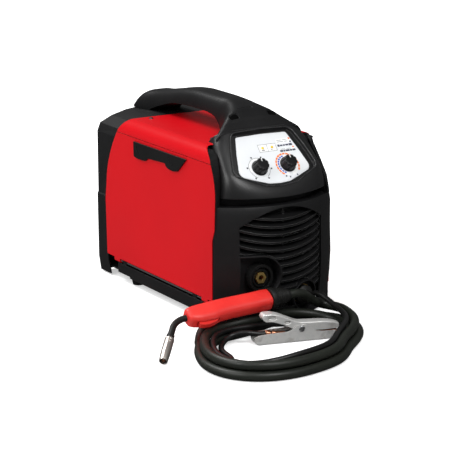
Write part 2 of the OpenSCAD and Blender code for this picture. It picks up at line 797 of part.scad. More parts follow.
module latch_plate() {
  // one straight plate with a shallow grip cut below its middle
  color(BLACK) along_x(-hw - 3, -hw) difference() {
    polygon([
      [84, plate_z + 9], [-101, plate_z + 10],
      [-72, plate_z - 16], [-62, plate_z - 18.5], [-52, plate_z - 19],
      [-40, plate_z - 18], [-31, plate_z - 15], [-28, plate_z - 10], [32, plate_z - 13], [40, plate_z - 18.5],
      [52, plate_z - 20], [65, plate_z - 20], [76, plate_z - 19.5], [83, plate_z - 18]]);
    for (c = catch_seats) translate(c) rotate(-35) square([5.4, 13.4], center = true);
  }
}

catch_seats = [[68, plate_z - 5], [-46, plate_z - 3]];

module latch_catches() {
  color([0.05, 0.05, 0.05]) for (c = catch_seats) translate([0, c[0], c[1]]) rotate([-35, 0, 0]) {
    translate([-hw - 2.4, -2.4, -6.4]) cube([2.4, 4.8, 12.8]);
  }
}

// ---------- inside: wire feed ----------

module divider() {
  color(STEEL) {
    difference() {
      translate([divider_x, -130, floor_z]) cube([divider_t, 290, inner_h - floor_z - 10]);
      translate([divider_x - 1, feed_y, feed_z]) rotate([0, 90, 0]) cylinder(r = 14, h = divider_t + 2);
    }
    translate([divider_x, -130, floor_z]) cube([14, 290, 1.6]);
    translate([divider_x, -130, inner_h - 10]) cube([14, 290, 1.6]);
  }
}

spool_y = 55;
spool_z = 165;
spool_x = -100;

module spool_axle() {
  color(BLACK) translate([0, spool_y, spool_z]) rotate([0, -90, 0]) difference() {
    union() {
      translate([0, 0, -divider_x]) cylinder(r = 34, h = 6);
      translate([0, 0, -divider_x]) cylinder(r = axle_r, h = -spool_x + divider_x + 2);
      // brake hub nose
      translate([0, 0, -spool_x - 1]) cylinder(r = 10, h = 7);
    }
    translate([0, 0, -divider_x - 1]) cylinder(r = 5, h = 100);
  }
}

module spool_nut() {
  color(BLACK) translate([spool_x - 2, spool_y, spool_z]) rotate([0, -90, 0]) difference() {
    union() {
      translate([0, 0, gap]) cylinder(r = axle_r + 6, h = 5);
      for (a = [0, 60, 120]) rotate([0, 0, a]) translate([-axle_r - 2, -4, gap]) cube([2 * axle_r + 4, 8, 9]);
    }
    cylinder(r = 10.1, h = 20);
  }
}

module wire_spool() {
  color([0.15, 0.15, 0.16]) translate([spool_x, spool_y, spool_z]) rotate([0, 90, 0]) difference() {
    union() {
      cylinder(r = spool_r, h = 3);
      translate([0, 0, spool_w - 3]) cylinder(r = spool_r, h = 3);
      cylinder(r = 50, h = spool_w);
    }
    translate([0, 0, -1]) cylinder(r = axle_r + 0.1, h = spool_w + 2);
    for (a = [0:60:300]) rotate([0, 0, a]) translate([74, 0, -1]) cylinder(r = 16, h = 5);
    for (a = [0:60:300]) rotate([0, 0, a]) translate([74, 0, spool_w - 4]) cylinder(r = 16, h = 5);
    translate([0, 0, 3]) difference() {
      cylinder(r = 47, h = spool_w - 6);
      cylinder(r = axle_r + 4, h = spool_w);
    }
  }
}

module wire_pack() {
  color([0.7, 0.45, 0.3]) translate([spool_x + 3, spool_y, spool_z]) rotate([0, 90, 0]) difference() {
    cylinder(r = spool_r - 12, h = spool_w - 6);
    translate([0, 0, -1]) cylinder(r = 50, h = spool_w);
  }
}

feed_y = -90;
feed_z = 105;
wire_z = feed_z + roller_r;
idler_r = 12;
screw_x = divider_x - 31;   // tension screw, beside the wire

module feed_bracket() {
  color([0.75, 0.76, 0.78]) {
    difference() {
      union() {
        translate([divider_x - 12, feed_y - 42, feed_z - 28]) cube([12, 84, 72]);
        // post that takes the tension screw
        translate([divider_x - 38, feed_y + 30, feed_z - 20]) cube([27, 12, 30]);
      }
      translate([divider_x - 20, feed_y, feed_z]) rotate([0, 90, 0]) cylinder(r = 8, h = 30);
    }
  }
  // pin the pressure arm turns on
  color(STEEL) translate([divider_x - 34, feed_y - 34, wire_z + 22]) rotate([0, 90, 0])
    cylinder(r = 2.95, h = 30);
}

module feed_motor() {
  color([0.2, 0.2, 0.22]) translate([divider_x + divider_t, feed_y, feed_z]) rotate([0, 90, 0]) {
    cylinder(r = 24, h = 20);
    translate([0, 0, 20]) cylinder(r = 30, h = 60);
    translate([0, 0, 80]) cylinder(r = 12, h = 6);
  }
  color(STEEL) translate([divider_x - 34, feed_y, feed_z]) rotate([0, 90, 0])
    cylinder(r = 5, h = 34 + divider_t);
}

module drive_roller() {
  color(STEEL) translate([divider_x - 30, feed_y, feed_z]) rotate([0, 90, 0]) difference() {
    cylinder(r = roller_r, h = 14);
    translate([0, 0, -1]) cylinder(r = 5.05, h = 20);
    // wire grooves
    for (z = [4, 10]) translate([0, 0, z]) difference() {
      cylinder(r = roller_r + 1, h = 1);
      cylinder(r = roller_r - 0.6, h = 1);
    }
  }
}

module pressure_arm() {
  color([0.12, 0.12, 0.13]) difference() {
    union() {
      translate([divider_x - 34, feed_y - 34, wire_z + 22]) rotate([0, 90, 0]) cylinder(r = 7, h = 20);
      translate([divider_x - 34, feed_y - 34, wire_z + 17]) cube([3, 76, 10]);
      translate([divider_x - 17, feed_y - 34, wire_z + 17]) cube([3, 76, 10]);
      translate([screw_x - 7, feed_y + 28, wire_z + 17]) cube([24, 14, 10]);
      // cheeks that carry the idler
      for (x = [-34, -17]) translate([divider_x + x, feed_y - 7, wire_z + 8]) cube([3, 14, 12]);
    }
    translate([divider_x - 40, feed_y - 34, wire_z + 22]) rotate([0, 90, 0]) cylinder(r = 3, h = 50);
    translate([divider_x - 40, feed_y, wire_z + idler_r]) rotate([0, 90, 0]) cylinder(r = 2.5, h = 50);
    translate([screw_x, feed_y + 36, wire_z]) cylinder(r = 3.3, h = 50);
  }
}

module idler_roller() {
  color(STEEL) translate([0, feed_y, wire_z + idler_r]) rotate([0, 90, 0]) {
    translate([0, 0, divider_x - 30.6]) cylinder(r = idler_r - 0.5, h = 13.2);
    translate([0, 0, divider_x - 34]) cylinder(r = 2.45, h = 20);
  }
}

module tension_knob() {
  color([0.8, 0.1, 0.08]) translate([screw_x, feed_y + 36, wire_z + 27]) difference() {
    translate([0, 0, gap]) cylinder(r = 8, h = 22);
    for (a = [0:45:315]) rotate([0, 0, a]) translate([9, 0, 4]) cylinder(r = 2.2, h = 20);
  }
  color(STEEL) translate([screw_x, feed_y + 36, feed_z + 10 + gap]) cylinder(r = 3, h = wire_z - feed_z + 20);
}

module wire_guides() {
  color(BRASS) {
    for (y = [[feed_y - 42, 26], [feed_y + 16, 30]]) translate([divider_x - 22, y[0], wire_z])
      rotate([-90, 0, 0]) difference() {
        cylinder(r = 3.5, h = y[1]);
        translate([0, 0, -1]) cylinder(r = 1, h = y[1] + 2);
      }
    // blocks that hold them on the bracket
    for (y = [feed_y - 42, feed_y + 22]) translate([divider_x - 18.6, y, wire_z - 4]) cube([6.6, 6, 8]);
  }
}

// ---------- inside: power unit ----------

module inverter_board() {
  color([0.05, 0.3, 0.15]) translate([12, -60, floor_z + 12]) cube([95, 190, 1.6]);
  color(STEEL) for (x = [18, 101], y = [-54, 124]) translate([x, y, floor_z]) cylinder(r = 3, h = 12);
  color([0.1, 0.1, 0.3]) for (i = [0:3])
    translate([88, -40 + 34 * i, floor_z + 13.6]) cylinder(r = 12.5, h = 42);
  color([0.1, 0.1, 0.1]) for (i = [0:4]) translate([24, -46 + 30 * i, floor_z + 13.6]) cube([5, 16, 20]);
}

module heat_sink() {
  z = floor_z + 66;
  color([0.75, 0.76, 0.78]) {
    translate([divider_x + divider_t, -40, z + 130]) cube([90, 170, 6]);
    for (i = [0:11]) translate([divider_x + divider_t + 3 + 7.6 * i, -40, z + 72]) cube([2, 170, 59]);
  }
}

module transformer() {
  color([0.25, 0.22, 0.2]) {
    translate([24, -118, floor_z]) cube([64, 46, 54]);
  }
  color([0.6, 0.35, 0.2]) translate([30, -121, floor_z + 10]) cube([52, 52, 38]);
}

// ---------- sockets ----------

module torch_socket() {
  color([0.06, 0.06, 0.06]) translate([socket_x, pocket_y, socket_z]) rotate([90, 0, 0]) difference() {
    union() {
      cylinder(r = 23.5, h = 17);
      translate([0, 0, -30]) cylinder(r = 16.8, h = 31);
    }
    translate([0, 0, 9]) cylinder(r = 19, h = 20);
    translate([0, 0, -31]) cylinder(r = 9.2, h = 60);
  }
  color([0.06, 0.06, 0.06]) translate([socket_x, pocket_y, socket_z]) rotate([90, 0, 0]) difference() {
    translate([0, 0, 8.5]) cylinder(r = 15.5, h = 5);
    translate([0, 0, 1]) cylinder(r = 12.2, h = 30);
  }
}

module torch_socket_bush() {
  color(BRASS) translate([socket_x, pocket_y, socket_z]) rotate([90, 0, 0]) difference() {
    union() {
      translate([0, 0, -34]) cylinder(r = 9.1, h = 44);
      translate([0, 0, 9]) cylinder(r = 10.4, h = 7, $fn = 6);
    }
    translate([0, 0, -40]) cylinder(r = 5, h = 80);
  }
}

module earth_socket() {
  color(BRASS) translate([earth_x, pocket_y, earth_z]) rotate([90, 0, 0]) difference() {
    union() {
      translate([0, 0, -22]) cylinder(r = 13.8, h = 22.5);
      cylinder(r = 17, h = 6);
    }
    translate([0, 0, -12]) cylinder(r = 6.6, h = 40);
  }
}

plug_l = 14.5;

module earth_plug() {
  color([0.07, 0.07, 0.07]) translate([earth_x, pocket_y - 6, earth_z]) rotate([90, 0, 0]) difference() {
    union() {
      cylinder(r = 16, h = 9);
      translate([0, 0, 9]) cylinder(r1 = 16, r2 = 9, h = plug_l - 9);
      for (a = [0:45:315]) rotate([0, 0, a]) translate([15, 0, 1]) cylinder(r = 2, h = 7);
    }
    translate([0, 0, plug_l - 1]) cylinder(r = lead_d / 2 - 0.6, h = 10);
  }
  color(BRASS) translate([earth_x, pocket_y - 6, earth_z]) rotate([-90, 0, 0]) cylinder(r = 6.5, h = 16);
}

// ---------- torch ----------

torch_turn = [0, -3.2, -1.8];
torch_roll = -60.5;
// The torch lies so that the mouth of its nozzle just clears the floor
function rise(v) = -sin(torch_turn[1]) * v[0] + cos(torch_turn[1]) * cos(torch_roll) * v[2];
torch_z = 0.4 - rise(neck_pt(28 + nozzle_l) - [2, 0, 0])
  + (nozzle_r - 1) * sqrt(1 - pow(rise([-cos(neck_a), 0, -sin(neck_a)]), 2));
torch_at = [-216, -257, torch_z];

module in_torch() {
  translate(torch_at) rotate(torch_turn) rotate([torch_roll, 0, 0]) children();
}

// Stations along the torch handle: [x, half width, top, bottom]
function torch_stations(l) = [
  [0, 10, 10, -10],
  [3, 12.5, 13, -13.5],
  [10, 14, 15, -17],
  [24, 14.5, 16.5, -20],
  [44, 14.5, 17.5, -20.5],
  [58, 14.5, 18, -18],
  [78, 14.5, 18, -16.5],
  [100, 14.5, 17.5, -16.5],
  [l * 0.80, 14.5, 17, -17],
  [l * 0.93, 15, 17, -17],
  [l, 15, 16, -16]
];
torch_sides = 20;

function torch_section(s) = [for (i = [0:torch_sides - 1])
  let (a = 360 * i / torch_sides, c = cos(a), q = sin(a), e = 0.62,
    x = sign(c) * pow(abs(c), e), z = sign(q) * pow(abs(q), e))
  [s[0], -s[1] * x, (s[2] + s[3]) / 2 + (s[2] - s[3]) / 2 * z]];

module torch_handle() {
  color([0.85, 0.07, 0.08]) in_torch() difference() {
    loft([for (s = torch_stations(torch_l)) torch_section(s)]);
    // trigger slot
    translate([14, -4.4, -26]) cube([38, 8.8, 20]);
    translate([48, -10, -12]) rotate([-90, 0, 0]) cylinder(r = 1.5, h = 20);
  }
}

trigger_at = [48, 0, -12];

module torch_trigger() {
  color([0.85, 0.07, 0.08]) in_torch() {
    translate(trigger_at) rotate([-90, 0, 0]) translate([0, 0, -9.5]) cylinder(r = 1.45, h = 19);
    translate([15, 4.1, 0]) rotate([90, 0, 0]) linear_extrude(8.2)
      polygon([[0, -12], [0, -23.5], [6, -26], [16, -26.5], [27, -24.5],
        [35.5, -20], [35.5, -11], [31, -10.5]]);
  }
}

function neck_pt(u) = u < 0 ? [-38 * u, 0, 0] :
  u <= 1 ? [-38 * sin(neck_a * u), 0, -38 * (1 - cos(neck_a * u))] :
  let (e = neck_pt(1)) e + (u - 1) * [-cos(neck_a), 0, -sin(neck_a)];

module bend(r, a, big) {
  // quarter-like bend that starts along -X and turns down
  translate([0, 0, -big]) rotate([90, 0, 0]) rotate([0, 0, 90]) rotate_extrude(angle = a, $fn = 64)
    translate([big, 0]) circle(r, $fn = 32);
}

module torch_neck() {
  color([0.07, 0.07, 0.07]) in_torch() translate([-2, 0, 0]) {
    rotate([0, 90, 0]) cylinder(r = neck_r, h = 1.7);
    bend(neck_r, neck_a, 38);
    translate(neck_pt(1)) rotate([0, -90 - neck_a, 0]) cylinder(r = neck_r, h = 20);
    translate(neck_pt(19)) rotate([0, -90 - neck_a, 0]) cylinder(r = neck_r + 1.2, h = 9);
  }
}

module at_nozzle() {
  in_torch() translate([-2, 0, 0]) translate(neck_pt(28)) rotate([0, -90 - neck_a, 0]) children();
}

module gas_nozzle() {
  color(STEEL) at_nozzle() difference() {
    union() {
      translate([0, 0, gap]) cylinder(r = nozzle_r, h = nozzle_l - 16);
      translate([0, 0, nozzle_l - 16 + gap]) cylinder(r1 = nozzle_r, r2 = nozzle_r - 1, h = 16);
    }
    translate([0, 0, -1]) cylinder(r = nozzle_r - 1.6, h = nozzle_l + 2);
  }
}

module contact_tip() {
  color([0.75, 0.4, 0.25]) at_nozzle() difference() {
    union() {
      cylinder(r = nozzle_r - 1.65, h = 12);
      cylinder(r = 4, h = 26);
      translate([0, 0, 26]) cylinder(r1 = 3.8, r2 = 2.6, h = nozzle_l - 28);
    }
    translate([0, 0, -1]) cylinder(r = 0.6, h = nozzle_l + 2);
  }
}

module torch_collar() {
  color([0.07, 0.07, 0.07]) in_torch() {
    translate([torch_l + gap, 0, 0]) rotate([0, 90, 0]) cylinder(r = 19, h = 10);
    translate([torch_l + 10, 0, 0]) rotate([0, 90, 0]) cylinder(r1 = 17, r2 = 14.5, h = 16);
    for (i = [0:2]) translate([torch_l + 27 + 4 * i, 0, 0]) rotate([0, 90, 0])
      cylinder(r = 13.5 - 1.5 * i, h = 3);
    translate([torch_l + 20, 0, 0]) rotate([0, 90, 0]) cylinder(r = 9.5, h = 20);
  }
}

// ---------- leads ----------

coil_at = [-95, -356];
function coil_r(a) = 129 + 31 * cos(2 * (a - 25)) + 10 * cos(3 * (a - 23)) + 9 * cos(4 * (a - 31));
function coil_mid(a) = [coil_r(a) * cos(a), coil_r(a) * sin(a)];
coil_rings = 24;
// Point on a wound lead: rows hold turns from the start, how far outside the middle line, height
function coil_pt(rows, start, way, u) =
  let (a = start + way * 360 * u, t = unit(coil_mid(a + 1) - coil_mid(a - 1)),
    out = lookup(u, [for (q = rows) [q[0], q[1]]]))
  [each coil_at + coil_mid(a) + out * [t[1], -t[0]], lookup(u, [for (q = rows) [q[0], q[2]]])];
function coil_path(rows, start, way, rings) = [for (i = [0:rings]) coil_pt(rows, start, way, i / coil_rings)];
function least_gap(p, d) =
  min([for (i = [0:len(p) - 1], j = [i + 12:1:len(p) - 2]) let (e = p[j + 1] - p[j], v = p[i] - p[j])
    norm(v - e * max(0, min(1, (v * e) / (e * e))))]) - d;
function last(p) = p[len(p) - 1];
// One tube diameter straight on beyond the end of a path, and before its start
function past(p, d) = last(p) + d * unit(last(p) - p[len(p) - 2]);
function ahead(p, d) = p[0] - d * unit(p[1] - p[0]);

hose_rows = [
  [0, 2, 25], [0.05, 0, 23], [0.12, 0, 22.6], [0.7, 0, 22.6], [0.757, 0, 26], [0.817, 0, 26.5],
  [0.867, -4, 24], [0.917, -8.8, 17], [0.967, -8.8, 10], [1.017, -8.8, 8], [1.707, -8.8, 8],
  [1.8, 4, 8], [1.88, 6.3, 8], [1.94, 8.8, 8], [3, 8.8, 8]
];
hose_coil = coil_path(hose_rows, 10, -1, 63);
echo(least_gap_of_torch_lead = least_gap(hose_coil, hose_d));

torch_dir = [cos(torch_turn[1]) * cos(torch_turn[2]), cos(torch_turn[1]) * sin(torch_turn[2]),
  -sin(torch_turn[1])];
tail = torch_at + (torch_l + 40) * torch_dir;
tail_route = concat([tail, tail + hose_d * torch_dir],
  [[13, -261, 56], [28, -255, 45.5], [44, -251, 35.5], [60, -253.5, 29], [71.5, -264, 26.8],
    [77.5, -280, 26], [76.5, -297, 25.3]],
  [ahead(hose_coil, hose_d), hose_coil[0]]);
connector_at = [-150, -232, 17];
machine_route = concat([last(hose_coil), past(hose_coil, hose_d)],
  [[-203, -277, 8], [-192, -260, 9.5], [-180, -244, 13.5]], [connector_at - [hose_d, 0, 0], connector_at]);

module torch_lead() {
  color(HOSE) {
    tube(tail_route, hose_d / 2, 8);
    tube(machine_route, hose_d / 2, 8);
  }
}

module torch_lead_coil() {
  color(HOSE) tube(hose_coil, hose_d / 2, 6);
}

module torch_connector() {
  color([0.07, 0.07, 0.07]) translate(connector_at) rotate([0, 90, 0]) {
    cylinder(r1 = 11, r2 = 15, h = 12);
    translate([0, 0, 12]) cylinder(r = 17, h = 30);
    for (a = [0:45:315]) rotate([0, 0, a + 22.5]) translate([15.5, 0, 14]) cylinder(r = 1.5, h = 26);
  }
  color(BRASS) translate(connector_at + [42, 0, 0]) rotate([0, 90, 0]) {
    cylinder(r = 12, h = 4);
    cylinder(r = 4.5, h = 14);
  }
}

// ---------- work clamp ----------

clamp_at = [-116, -303, 0];
clamp_turn = -14;
pivot_x = 82;
pivot_z = 23;
lug_x = 22;
lug_z = 16;

module in_clamp() {
  translate(clamp_at) rotate([0, 0, clamp_turn]) children();
}

module clamp_lower_arm() {
  color(STEEL) in_clamp() {
    difference() {
      along_y(-clamp_w / 2, clamp_w / 2) polygon([
        [0, 0], [clamp_l - 14, 0], [clamp_l, 4], [clamp_l, 12], [clamp_l - 8, 16], [120, 15],
        [pivot_x + 14, 30], [pivot_x - 12, 30], [pivot_x - 26, 20], [6, 18], [0, 12]]);
      translate([-1, -clamp_w / 2 + clamp_t, clamp_t]) cube([clamp_l - 22, clamp_w - 2 * clamp_t, 60]);
      translate([pivot_x, 30, pivot_z]) rotate([90, 0, 0]) cylinder(r = 3, h = 60);
    }
    // crimped lug that takes the earth lead
    translate([lug_x, 0, lug_z]) rotate([0, 90, 0]) cylinder(r = lead_d / 2 + 1.2, h = 16);
    translate([lug_x, -5, clamp_t - 0.5]) cube([24, 10, lug_z - 2]);
  }
}

module clamp_upper_arm() {
  w = clamp_w - 2 * clamp_t - 1;
  color(STEEL) in_clamp() {
    difference() {
      along_y(-w / 2, w / 2) polygon([
        [14, 44], [16, 52], [40, 50], [pivot_x, 33], [120, 32],
        [clamp_l, 26], [clamp_l, 18], [clamp_l - 10, 16.6],
        [120, 17], [pivot_x + 6, 18], [pivot_x - 6, 18], [48, 34], [30, 42]]);
      translate([20, -w / 2 + clamp_t, -2]) along_y(0, w - 2 * clamp_t) polygon([
        [-10, 40], [-6, 50], [20, 50.4], [pivot_x - 20, 33.4], [100, 32],
        [clamp_l - 45, 28], [clamp_l - 45, 0], [0, 0]]);
      translate([pivot_x, 30, pivot_z]) rotate([90, 0, 0]) cylinder(r = 3, h = 60);
    }
    translate([pivot_x, clamp_w / 2 + 1.5, pivot_z]) rotate([90, 0, 0]) cylinder(r = 2.95, h = clamp_w + 3);
  }
}

spring_turns = 5;
spring_r = 6;

module clamp_spring() {
  color(STEEL) in_clamp() translate([pivot_x, 0, pivot_z]) {
    n = 6;
    m = spring_turns * 8;
    pts = [for (i = [0:m]) let (a = 360 * i / 8, c = [spring_r * cos(a), -7 + 14 * i / m, spring_r * sin(a)])
      each [for (k = [0:n - 1]) let (b = 360 * k / n)
        c + 1.1 * [cos(b) * cos(a), sin(b), cos(b) * sin(a)]]];
    polyhedron(pts, tube_faces(m + 1, n));
  }
}

earth_rows = [
  [0, -42, 5.2], [0.08, -33, 5.2], [0.14, -26, 6.5], [0.2, -22.5, 12], [0.26, -18.6, 18], [0.32, -13.6, 21.2],
  [0.46, -13.6, 21.2], [0.54, -22.8, 14], [0.58, -23.6, 7], [0.66, -23.6, 6], [0.73, -15.5, 18],
  [0.78, -13.6, 21.2], [1.12, -13.8, 21.2], [1.17, -14, 26], [1.22, -10.4, 31.2], [1.41, -10.4, 31.2],
  [1.46, -11.8, 31.4]
];
earth_coil = coil_path(earth_rows, 175, 1, 35);
echo(least_gap_of_earth_lead = least_gap(earth_coil, lead_d));
clamp_dir = [cos(clamp_turn), sin(clamp_turn), 0];
lug_at = clamp_at + lug_x * clamp_dir + [0, 0, lug_z];
clamp_route = concat([lug_at, lug_at - lead_d * clamp_dir],
  [[-113, -303.5, 17.5], [-123, -296.5, 19], [-134, -287, 17], [-147, -283.5, 13.5], [-160, -287.5, 9.5],
    [-172, -297, 6.5], [-182, -312, 5.2], [-188.5, -331, 5.2]],
  [ahead(earth_coil, lead_d), earth_coil[0]]);
plug_at = [earth_x, pocket_y - 6 - plug_l, earth_z];
plug_route = concat([last(earth_coil), past(earth_coil, lead_d)],
  [[24, -369, 32.5], [35, -356, 33.5], [44, -341, 34], [50, -325, 34.5], [53, -308, 36], [53.5, -291, 40],
    [51.5, -275, 45], [49, -262, 49.6], [47, -250, 50.2], [45.5, -241.5, 47], [44.4, -236.5, 42.4]],
  [plug_at - [0, lead_d, 0], plug_at]);

module earth_lead() {
  color(HOSE) {
    tube(clamp_route, lead_d / 2, 8);
    tube(plug_route, lead_d / 2, 8);
  }
}

module earth_lead_coil() {
  color(HOSE) tube(earth_coil, lead_d / 2, 6);
}

// ---------- the pieces ----------

base_tray();
feet();
front_moulding();
front_louvres();
panel_housing();
control_panel();
indicator_window();
indicator_leds();
control_board();
potentiometers();
knob_left();
knob_right();
handle();
top_cover();
rear_moulding();
fan_grille();
fan_frame();
fan_rotor();
mains_switch_frame();
mains_switch_rocker();
mains_gland();
gas_inlet();
cover_screws();
side_door();
latch_plate();
latch_catches();
hinge_pin();
divider();
spool_axle();
spool_nut();
wire_spool();
wire_pack();
feed_bracket();
feed_motor();
drive_roller();
pressure_arm();
idler_roller();
tension_knob();
wire_guides();
inverter_board();
heat_sink();
transformer();
torch_socket();
torch_socket_bush();
earth_socket();
earth_plug();
torch_handle();
torch_trigger();
torch_neck();
gas_nozzle();
contact_tip();
torch_collar();
torch_lead();
torch_lead_coil();
torch_connector();
clamp_lower_arm();
clamp_upper_arm();
clamp_spring();
earth_lead();
earth_lead_coil();
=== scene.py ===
# %% [markdown]
# # A portable wire-feed welding machine
# A red steel cover sits between two black plastic mouldings. The torch, its hose and the work clamp
# lie in front of it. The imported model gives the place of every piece, and this lesson adds the
# finishes, the rounded forms and the leads. All lengths are written in millimetres, as on a drawing,
# and turned to metres where a mesh is made.

import bpy
import numpy as np
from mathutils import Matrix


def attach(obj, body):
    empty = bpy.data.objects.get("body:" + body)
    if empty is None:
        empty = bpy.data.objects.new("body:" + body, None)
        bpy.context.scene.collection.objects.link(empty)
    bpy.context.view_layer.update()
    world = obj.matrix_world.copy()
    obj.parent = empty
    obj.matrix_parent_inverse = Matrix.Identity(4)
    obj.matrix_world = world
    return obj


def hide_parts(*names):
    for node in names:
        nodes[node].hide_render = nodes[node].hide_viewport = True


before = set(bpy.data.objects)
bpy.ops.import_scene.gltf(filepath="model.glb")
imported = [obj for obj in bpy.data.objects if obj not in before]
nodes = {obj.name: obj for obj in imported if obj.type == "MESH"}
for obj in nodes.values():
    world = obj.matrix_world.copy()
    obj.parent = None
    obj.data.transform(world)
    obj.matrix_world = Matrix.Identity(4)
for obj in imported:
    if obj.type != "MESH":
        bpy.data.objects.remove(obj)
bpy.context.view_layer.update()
MM = 0.001

# %% [markdown]
# ## Camera
# A long lens far away keeps the upright edges almost parallel, as in a catalogue picture. The camera
# stands to the left of the front and looks down on the machine by about fifteen degrees.

# %% Camera
lens = bpy.data.cameras.new("Camera")
lens.lens, lens.sensor_width = 149.58, 36.0
camera = bpy.data.objects.new("Camera", lens)
camera.location = (-1.76572, -2.90288, 0.98726)
camera.rotation_euler = (np.radians(90 - 14.58), 0, np.radians(-31.86))
bpy.context.scene.collection.objects.link(camera)
bpy.context.scene.camera = camera
bpy.context.scene.view_settings.view_transform = "Standard"
print("camera distance", round(float(np.linalg.norm(camera.location)), 2), "m")

# %% [markdown]
# ## Surfaces from numpy
# Every new piece is a grid of points: rows along the piece, columns around it. One helper joins the
# grid to quads, closes its ends where asked, and puts the arrays straight into a mesh.


# %% Grid to mesh
def grid_quads(rows, cols, around):
    """Corner numbers of the quads of a rows x cols grid; around joins the last column to the first."""
    i = np.arange(rows - 1)[:, None]
    j = np.arange(cols if around else cols - 1)[None, :]
    k = (j + 1) % cols
    return np.stack([i * cols + j, i * cols + k, (i + 1) * cols + k, (i + 1) * cols + j], -1).reshape(-1, 4)


def sheet_of(grid, around=True, ends=True):
    """(points, quads, triangles) of one grid; ends closes both ends with a fan round their middle."""
    rows, cols, _ = grid.shape
    points = grid.reshape(-1, 3)
    quads = grid_quads(rows, cols, around)
    tris = np.zeros((0, 3), int)
    if ends:
        j = np.arange(cols)
        k = (j + 1) % cols
        low = np.full(cols, len(points))
        last = (rows - 1) * cols
        points = np.concatenate([points, grid[:1].mean(1), grid[-1:].mean(1)])
        tris = np.concatenate([np.stack([low, k, j], -1), np.stack([low + 1, last + j, last + k], -1)])
    return points, quads, tris


def join(*sheets):
    """Several (points, quads, triangles) as one."""
    start = np.cumsum([0] + [len(s[0]) for s in sheets[:-1]])
    return (
        np.concatenate([s[0] for s in sheets]),
        np.concatenate([s[1] + n for s, n in zip(sheets, start)]),
        np.concatenate([s[2] + n for s, n in zip(sheets, start)]),
    )


def make_piece(name, sheets, finish, body="machine", instead_of=(), uv=None, sharp=35, edge=0):
    """A Blender object from (points, quads, triangles) in mm, riding on a body; edge bevels sharp edges."""
    points, quads, tris = sheets
    mesh = bpy.data.meshes.new(name)
    corners = np.concatenate([quads.ravel(), tris.ravel()]).astype(np.int32)
    sizes = np.concatenate([np.full(len(quads), 4), np.full(len(tris), 3)])
    starts = np.concatenate([[0], np.cumsum(sizes)[:-1]]).astype(np.int32)
    mesh.vertices.add(len(points))
    mesh.vertices.foreach_set("co", (points * MM).astype(np.float32).ravel())
    mesh.loops.add(len(corners))
    mesh.loops.foreach_set("vertex_index", corners)
    mesh.polygons.add(len(sizes))
    mesh.polygons.foreach_set("loop_start", starts)
    mesh.update(calc_edges=True)
    if uv is not None:
        mesh.uv_layers.new(name="UVMap").data.foreach_set("uv", uv[corners].astype(np.float32).ravel())
    return finish_piece(name, mesh, finish, body, instead_of, sharp, edge)


def finish_piece(name, mesh, finish, body, instead_of, sharp, edge):
    """Outward normals, smooth faces with sharp edges kept, the finish, and the body the piece rides on."""
    import bmesh

    work = bmesh.new()
    work.from_mesh(mesh)
    bmesh.ops.remove_doubles(work, verts=work.verts, dist=1e-6)
    bmesh.ops.recalc_face_normals(work, faces=work.faces)
    work.to_mesh(mesh)
    work.free()
    mesh.materials.append(finish)
    mesh.shade_smooth()
    mesh.set_sharp_from_angle(angle=np.radians(sharp))
    piece = bpy.data.objects.new(name, mesh)
    bpy.context.scene.collection.objects.link(piece)
    if edge:
        bevel = piece.modifiers.new("rounded edges", "BEVEL")
        bevel.width, bevel.segments = edge * MM, 3
        bevel.limit_method, bevel.angle_limit = "ANGLE", np.radians(sharp)
        bevel.harden_normals = True
    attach(piece, body)
    if instead_of:
        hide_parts(*instead_of)
    return piece


# %% [markdown]
# ## Smooth lines and tables
# A tube needs a line without kinks, and a loft needs its few measured stations turned into many.
# The first helper draws a curve through free points, the second runs smoothly through a table of
# numbers without swinging past them.


# %% Lines and tables
def curve_through(points, step):
    """Catmull-Rom curve: between two points it is the cubic whose slopes join their neighbours."""
    p = np.asarray(points, float)
    p = np.concatenate([[2 * p[0] - p[1]], p, [2 * p[-1] - p[-2]]])
    spans = []
    for a, b, c, d in zip(p[:-3], p[1:-2], p[2:-1], p[3:]):
        t = np.linspace(0, 1, max(2, int(np.linalg.norm(c - b) / step) + 1), endpoint=False)[:, None]
        square, cube = 2 * a - 5 * b + 4 * c - d, 3 * b - a - 3 * c + d
        spans.append(0.5 * (2 * b + (c - a) * t + square * t**2 + cube * t**3))
    return np.concatenate(spans + [p[-2:-1]])


def table_through(at, xs, ys):
    """Monotone cubic: each slope is the harmonic mean of its two neighbours', or 0 where the table turns."""
    xs, ys = np.asarray(xs, float), np.asarray(ys, float)
    h = np.diff(xs)
    d = np.diff(ys) / h
    m = np.zeros(len(xs))
    same = d[1:] * d[:-1] > 0
    m[1:-1][same] = 2 * d[1:][same] * d[:-1][same] / (d[1:] + d[:-1])[same]
    m[0], m[-1] = d[0], d[-1]
    i = np.clip(np.searchsorted(xs, at) - 1, 0, len(h) - 1)
    t = (at - xs[i]) / h[i]
    return (
        (1 + 2 * t) * (1 - t) ** 2 * ys[i]
        + t * (1 - t) ** 2 * h[i] * m[i]
        + t * t * (3 - 2 * t) * ys[i + 1]
        + t * t * (t - 1) * h[i] * m[i + 1]
    )


